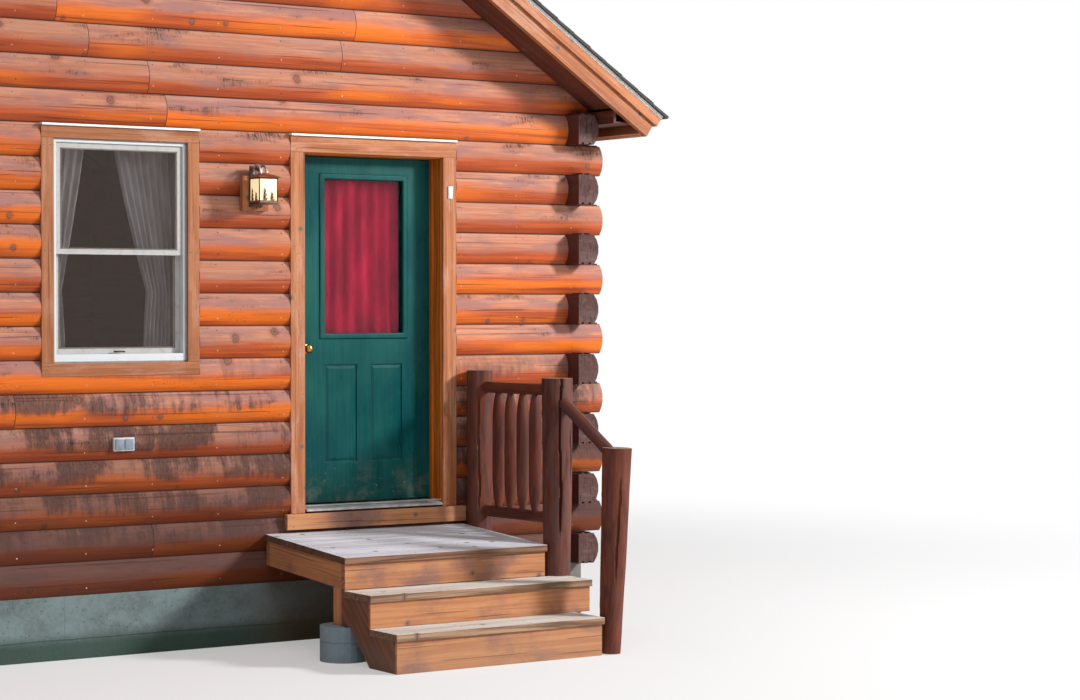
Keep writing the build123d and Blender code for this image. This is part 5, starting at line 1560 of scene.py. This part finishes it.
class CABIN_OT_railing(bpy.types.Operator):
    """Set the peeled posts, rails and balusters"""

    bl_idname = "cabin.railing"
    bl_label = "Railing"

    def execute(self, context):
        self.posts()
        self.rails()
        return {"FINISHED"}

    def posts(self):
        boxes = sorted(solid_boxes("rail_posts"), key=lambda box: -box[0].y)
        bm = bmesh.new()
        for seed, (low, high) in enumerate(boxes):
            reach = high.z + POST_CROWN
            radius = (high.x - low.x) / 2
            if seed == 0:
                centre = Vector(((low.x + high.x) / 2, low.y + radius, 0))
                radii = ((0.0, radius), (reach, radius))
                top = centre + Vector((0, 0, reach))
                cracks = ((-2.2, 0.7, 1.45, 0.006, 0.012),)
            elif seed == 1:
                centre = (low + high) / 2
                centre.z = 0
                radii = ((0.0, radius * 0.845), (reach, radius * 1.03))
                top = centre + Vector((0.006, 0, reach))
                cracks = ((-1.95, 0.62, high.z + 1.0, 0.006, 0.03),
                          (-1.0, 0.9, 1.3, 0.006, 0.012))
            else:
                centre = Vector((low.x + NEWEL_FOOT + 0.016, high.y - NEWEL_FOOT, NEWEL_LIFT))
                radii = ((0.0, NEWEL_FOOT), (reach, NEWEL_HEAD))
                top = Vector((high.x - NEWEL_HEAD + 0.012, low.y + NEWEL_HEAD, reach))
                cracks = ((-1.9, 0.4, 1.0, 0.006, 0.012),)
            peeled_log(bm, centre, top, radii, 60 + seed, 96, cracks)
        make_piece(bm, "post_logs", "cabin", "peeled_log", ["Peeled pole"], ("rail_posts",),
                   angle=40)

    def rails(self):
        rails = solid_boxes("rails")
        bm = bmesh.new()
        balusters = solid_boxes("balusters")
        level = sorted((box for box in rails if box[1].z - box[0].z < 0.2),
                       key=lambda box: box[0].z)
        sloping = [box for box in rails if box[1].z - box[0].z >= 0.2]
        for seed, (low, high) in enumerate(level):
            radius = (high.z - low.z) / 2
            z = (low.z + high.z) / 2
            near = Vector((low.x + radius, high.y + 0.02, z))
            far = Vector((high.x - radius, low.y - 0.02, z))
            length = (far - near).length
            peeled_log(bm, near, far, ((0, radius), (length, radius)), 70 + seed, 40)
        for low, high in sloping:
            start, end = self.handrail_line(low, high)
            length = (end - start).length
            peeled_log(bm, start, end, ((0, HANDRAIL_RADIUS), (length, HANDRAIL_RADIUS)), 75, 36)
        make_piece(bm, "rail_logs", "cabin", "peeled_log", ["Peeled pole"], ("rails",), angle=40)
        bm = bmesh.new()
        z_low, z_high = level[0][1].z, level[-1][0].z
        for seed, (low, high) in enumerate(balusters):
            centre = (low + high) / 2
            radius = (high.x - low.x) / 2
            foot = Vector((centre.x, centre.y, z_low - 0.012))
            top = Vector((centre.x, centre.y, z_high + 0.012))
            length = (top - foot).length
            radii = ((0, 0.017), (0.07, radius * 0.86), (0.16, radius), (length - 0.16, radius),
                     (length - 0.07, radius * 0.86), (length, 0.017))
            peeled_log(bm, foot, top, radii, 80 + seed, 32)
        make_piece(bm, "baluster_logs", "cabin", "peeled_log", ["Peeled pole"], ("balusters",),
                   angle=50)

    def handrail_line(self, low, high):
        # Middle line of the sloping rail, from the corners of its box
        angle = math.atan2(high.z - low.z, high.y - low.y)
        trim = CAD_RAIL_RADIUS * math.cos(angle)
        start = Vector((low.x + CAD_RAIL_RADIUS, high.y + 0.01, high.z - trim + 0.03))
        end = Vector((high.x - CAD_RAIL_RADIUS - 0.01, low.y - 0.01, low.z + trim - 0.04))
        return start, end


# Lantern and socket


class CABIN_OT_lantern(bpy.types.Operator):
    """Build the wall lantern with its fir-tree fretwork"""

    bl_idname = "cabin.lantern"
    bl_label = "Wall lantern"

    def execute(self, context):
        low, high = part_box("lamp_body")
        glass_low, glass_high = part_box("lamp_glass")
        block_low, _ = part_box("lamp_block")
        centre = Vector(((low.x + high.x) / 2, (glass_low.y + glass_high.y) / 2, 0))
        half = (glass_high.x - glass_low.x) / 2 + 0.01
        base, head = glass_low.z + LAMP_RAISE, glass_high.z
        metal = bmesh.new()
        add_block(metal, (centre.x - 0.042, block_low.y - 0.012, low.z + 0.04),
                  (centre.x + 0.042, block_low.y, high.z + 0.034), 0.003)
        for sx in (-1, 1):
            for sy in (-1, 1):
                post = Vector((centre.x + sx * (half - 0.003), centre.y + sy * (half - 0.003), 0))
                add_block(metal, (post.x - 0.003, post.y - 0.003, base - 0.004),
                          (post.x + 0.003, post.y + 0.003, head + 0.002), 0.001)
        reach = half + 0.002
        for z_low, z_high in ((base - 0.008, base), (head - 0.004, head + 0.004)):
            add_block(metal, (centre.x - reach, centre.y - reach, z_low),
                      (centre.x + reach, centre.y + reach, z_high), 0.002)
        make_piece(metal, "lantern_frame", "cabin", "bronze_metal", ["Bronze"], ("lamp_body",))
        cuts = bmesh.new()
        self.fretwork(cuts, centre, half, base)
        make_piece(cuts, "lantern_fretwork", "cabin", "bronze_metal", ["Cut plate"])
        roof = bmesh.new()
        self.roof(roof, centre, half, head)
        make_piece(roof, "lantern_roof", "cabin", "bronze_metal", ["Copper roof"], angle=25)
        arm = bmesh.new()
        self.arm(arm, centre, head + 0.02, block_low.y - 0.01)
        make_piece(arm, "lantern_arm", "cabin", "white_metal", ["Bright metal"], angle=60)
        glass = bmesh.new()
        add_block(glass, (centre.x - half + 0.004, centre.y - half + 0.004, base),
                  (centre.x + half - 0.004, centre.y + half - 0.004, glass_high.z), 0.004, 3)
        make_piece(glass, "lantern_glass", "cabin", "glass", ["Lamp glass"], ("lamp_glass",))
        return {"FINISHED"}

    def roof(self, bm, centre, half, head):
        # A flared hip roof in two tiers
        z = head + 0.003
        tiers = ((half + 0.014, half + 0.004, z, 0.008), (half + 0.004, 0.014, z + 0.008, 0.02))
        for low_radius, high_radius, start, rise in tiers:
            placed = Matrix.Translation((centre.x, centre.y, start + rise / 2)) @ Matrix.Rotation(
                math.pi / 4, 4, "Z")
            bmesh.ops.create_cone(bm, cap_ends=True, segments=4, radius1=low_radius * math.sqrt(2),
                                  radius2=high_radius * math.sqrt(2), depth=rise, matrix=placed)
        bmesh.ops.recalc_face_normals(bm, faces=bm.faces)

    def arm(self, bm, centre, foot, plate_face):
        # Two bright straps bend from the wall plate over to the peak of the roof
        for side in (-0.019, 0.019):
            points = []
            for step in range(13):
                turned = math.pi * step / 12
                share = (1 - math.cos(turned)) / 2
                points.append(Vector((centre.x + side,
                                      plate_face + (centre.y - plate_face) * share,
                                      foot + 0.01 + 0.046 * math.sin(turned))))
            for start, end in zip(points, points[1:]):
                line = end - start
                turn = line.to_track_quat("Z", "X").to_matrix().to_4x4()
                add_rod(bm, (start + end) / 2, turn, 0.0075, line.length + 0.004, 10)

    def fretwork(self, bm, centre, half, base):
        # Flat cut plates on three sides: a strip along the bottom and two fir trees
        plate = 0.0016
        for face in range(3):
            turn = Matrix.Rotation((face - 1) * math.pi / 2, 4, "Z")
            trees = ((-0.024, 0.082), (0.022, 0.056))
            for offset, height in trees:
                for tier in range(3):
                    width = 0.02 - tier * 0.0045
                    z_low = base + 0.008 + height * tier * 0.27
                    made = bmesh.ops.create_cone(bm, cap_ends=True, segments=3, radius1=1.0,
                                                 radius2=1.0, depth=plate)
                    for vert in made["verts"]:
                        side, rise, out = vert.co.y, vert.co.x, vert.co.z
                        spot = Vector((offset + side * width, -(half + 0.0005) + out,
                                       z_low + (rise + 0.5) * height * 0.3))
                        vert.co = Vector((centre.x, centre.y, 0)) + turn @ spot
            low = Vector((-half + 0.006, -half - 0.0004 - plate / 2, base))
            high = Vector((half - 0.006, -half - 0.0004 + plate / 2, base + 0.012))
            made = add_block(bm, low, high)
            bmesh.ops.transform(bm, matrix=Matrix.Translation(centre) @ turn, verts=made)
        bmesh.ops.recalc_face_normals(bm, faces=bm.faces)


class CABIN_OT_socket(bpy.types.Operator):
    """Fit the outdoor socket with its two hinged flaps"""

    bl_idname = "cabin.socket"
    bl_label = "Socket cover"

    def execute(self, context):
        low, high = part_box("socket_cover")
        bm = bmesh.new()
        add_block(bm, (low.x, low.y + 0.008, low.z), high, 0.004, 3)
        middle = (low.x + high.x) / 2
        for start, end in ((low.x + 0.008, middle - 0.003), (middle + 0.003, high.x - 0.008)):
            add_block(bm, (start, low.y, low.z + 0.008), (end, low.y + 0.01, high.z - 0.008),
                      0.003, 3, material=1)
            add_block(bm, (start + 0.01, low.y + 0.002, high.z - 0.0095),
                      (end - 0.01, low.y + 0.0095, high.z - 0.0045), 0.0015)
        for x in (low.x + 0.0045, high.x - 0.0045):
            add_nail(bm, (x, low.y + 0.008, (low.z + high.z) / 2), Vector((0, -1, 0)), 0.003)
        make_piece(bm, "socket_box", "cabin", "white_plastic", ["Socket plastic", "Flap plastic"],
                   ("socket_cover",))
        return {"FINISHED"}


class CABIN_OT_foundation(bpy.types.Operator):
    """Finish the foundation walls"""

    bl_idname = "cabin.foundation"
    bl_label = "Foundation"

    def execute(self, context):
        finish_node("foundation", "Poured concrete", 0.004)
        return {"FINISHED"}


class CABIN_OT_studio(bpy.types.Operator):
    """Set up the floor, the lights and the camera"""

    bl_idname = "cabin.studio"
    bl_label = "Studio"

    def execute(self, context):
        bm = bmesh.new()
        bmesh.ops.create_grid(bm, x_segments=1, y_segments=1, size=60.0)
        mesh = bpy.data.meshes.new("studio_floor")
        bm.to_mesh(mesh)
        bm.free()
        floor = bpy.data.objects.new("studio_floor", mesh)
        floor.location.z = -0.001
        bpy.context.scene.collection.objects.link(floor)
        mesh.materials.append(self.floor_material())
        self.world()
        for lamp in LAMPS:
            self.light(*lamp)
        self.camera()
        context.scene.view_settings.view_transform = "Standard"
        return {"FINISHED"}

    def floor_material(self):
        # Pale floor that keeps the shadow nearby and turns into the white background far off
        f = Finish("Studio floor", 0.9)
        f.set("Base Color", (0.8, 0.8, 0.8, 1))
        far = f.band(f.length(f.place()), FLOOR_NEAR, FLOOR_FAR, FLOOR_GLOW, 1.0)
        seen = f.add("LightPath", out="Is Camera Ray")
        white = f.add("Emission", [("Color", (1, 1, 1, 1)), ("Strength", 1.0)])
        choice = f.add("MixShader", enumerate((far * seen, f.shader.outputs[0], white)))
        f.put(f.nodes["Material Output"].inputs["Surface"], choice)
        return f.material

    def world(self):
        world = bpy.data.worlds.new("Studio")
        bpy.context.scene.world = world
        world.use_nodes = True
        nodes, links = world.node_tree.nodes, world.node_tree.links
        soft = nodes["Background"]
        white = nodes.new("ShaderNodeBackground")
        for node, strength in ((soft, SKY_STRENGTH), (white, 1.0)):
            node.inputs["Color"].default_value = (1, 1, 1, 1)
            node.inputs["Strength"].default_value = strength
        path = nodes.new("ShaderNodeLightPath")
        seen = path.outputs["Is Camera Ray"]
        for name in ("Is Glossy Ray", "Is Transmission Ray"):
            either = nodes.new("ShaderNodeMath")
            either.operation = "MAXIMUM"
            links.new(seen, either.inputs[0])
            links.new(path.outputs[name], either.inputs[1])
            seen = either.outputs[0]
        choice = nodes.new("ShaderNodeMixShader")
        for source, socket in zip((seen, soft.outputs[0], white.outputs[0]), choice.inputs):
            links.new(source, socket)
        links.new(choice.outputs[0], nodes["World Output"].inputs[0])

    def light(self, name, place, target, size, power):
        data = bpy.data.lights.new(name, "AREA")
        data.shape = "DISK"
        data.size = size
        data.energy = power
        lamp = bpy.data.objects.new(name, data)
        lamp.location = place
        direction = Vector(target) - Vector(place)
        lamp.rotation_euler = direction.to_track_quat("-Z", "Y").to_euler()
        bpy.context.scene.collection.objects.link(lamp)

    def camera(self):
        data = bpy.data.cameras.new("Viewpoint")
        data.sensor_fit = "HORIZONTAL"
        data.sensor_width = 36.0
        data.lens = CAMERA_LENS
        data.clip_end = 300.0
        camera = bpy.data.objects.new("Viewpoint", data)
        turn = Matrix.Rotation(CAMERA_TURN, 4, "Z") @ Matrix.Rotation(CAMERA_TILT, 4, "X")
        camera.matrix_world = Matrix.Translation(CAMERA_PLACE) @ turn
        bpy.context.scene.collection.objects.link(camera)
        bpy.context.scene.camera = camera


OPERATORS = (
    CABIN_OT_logs,
    CABIN_OT_boards,
    CABIN_OT_roof,
    CABIN_OT_windows,
    CABIN_OT_door,
    CABIN_OT_porch,
    CABIN_OT_railing,
    CABIN_OT_lantern,
    CABIN_OT_socket,
    CABIN_OT_foundation,
    CABIN_OT_nails,
    CABIN_OT_studio,
)


class CABIN_PT_panel(bpy.types.Panel):
    """The cabin's pieces, sizes and colours"""

    bl_idname = "CABIN_PT_panel"
    bl_label = "Log Cabin"
    bl_space_type = "VIEW_3D"
    bl_region_type = "UI"
    bl_category = "Log Cabin"

    def draw(self, context):
        column = self.layout.column(align=True)
        for operator in OPERATORS:
            column.operator(operator.bl_idname)
        for title, settings in (("Sizes", context.scene.cabin_sizes),
                                ("Colours", context.scene.cabin_colours)):
            box = self.layout.box()
            box.label(text=title)
            for key in settings.__annotations__:
                box.prop(settings, key)


CLASSES = (CabinColours, CabinSizes, *OPERATORS, CABIN_PT_panel)


def register():
    for each in CLASSES:
        bpy.utils.register_class(each)
    bpy.types.Scene.cabin_colours = bpy.props.PointerProperty(type=CabinColours)
    bpy.types.Scene.cabin_sizes = bpy.props.PointerProperty(type=CabinSizes)


def unregister():
    del bpy.types.Scene.cabin_sizes
    del bpy.types.Scene.cabin_colours
    for each in reversed(CLASSES):
        bpy.utils.unregister_class(each)


def main():
    register()
    for operator in OPERATORS:
        group, name = operator.bl_idname.split(".")
        getattr(getattr(bpy.ops, group), name)()
    bpy.context.view_layer.update()


if __name__ == "__main__":
    main()
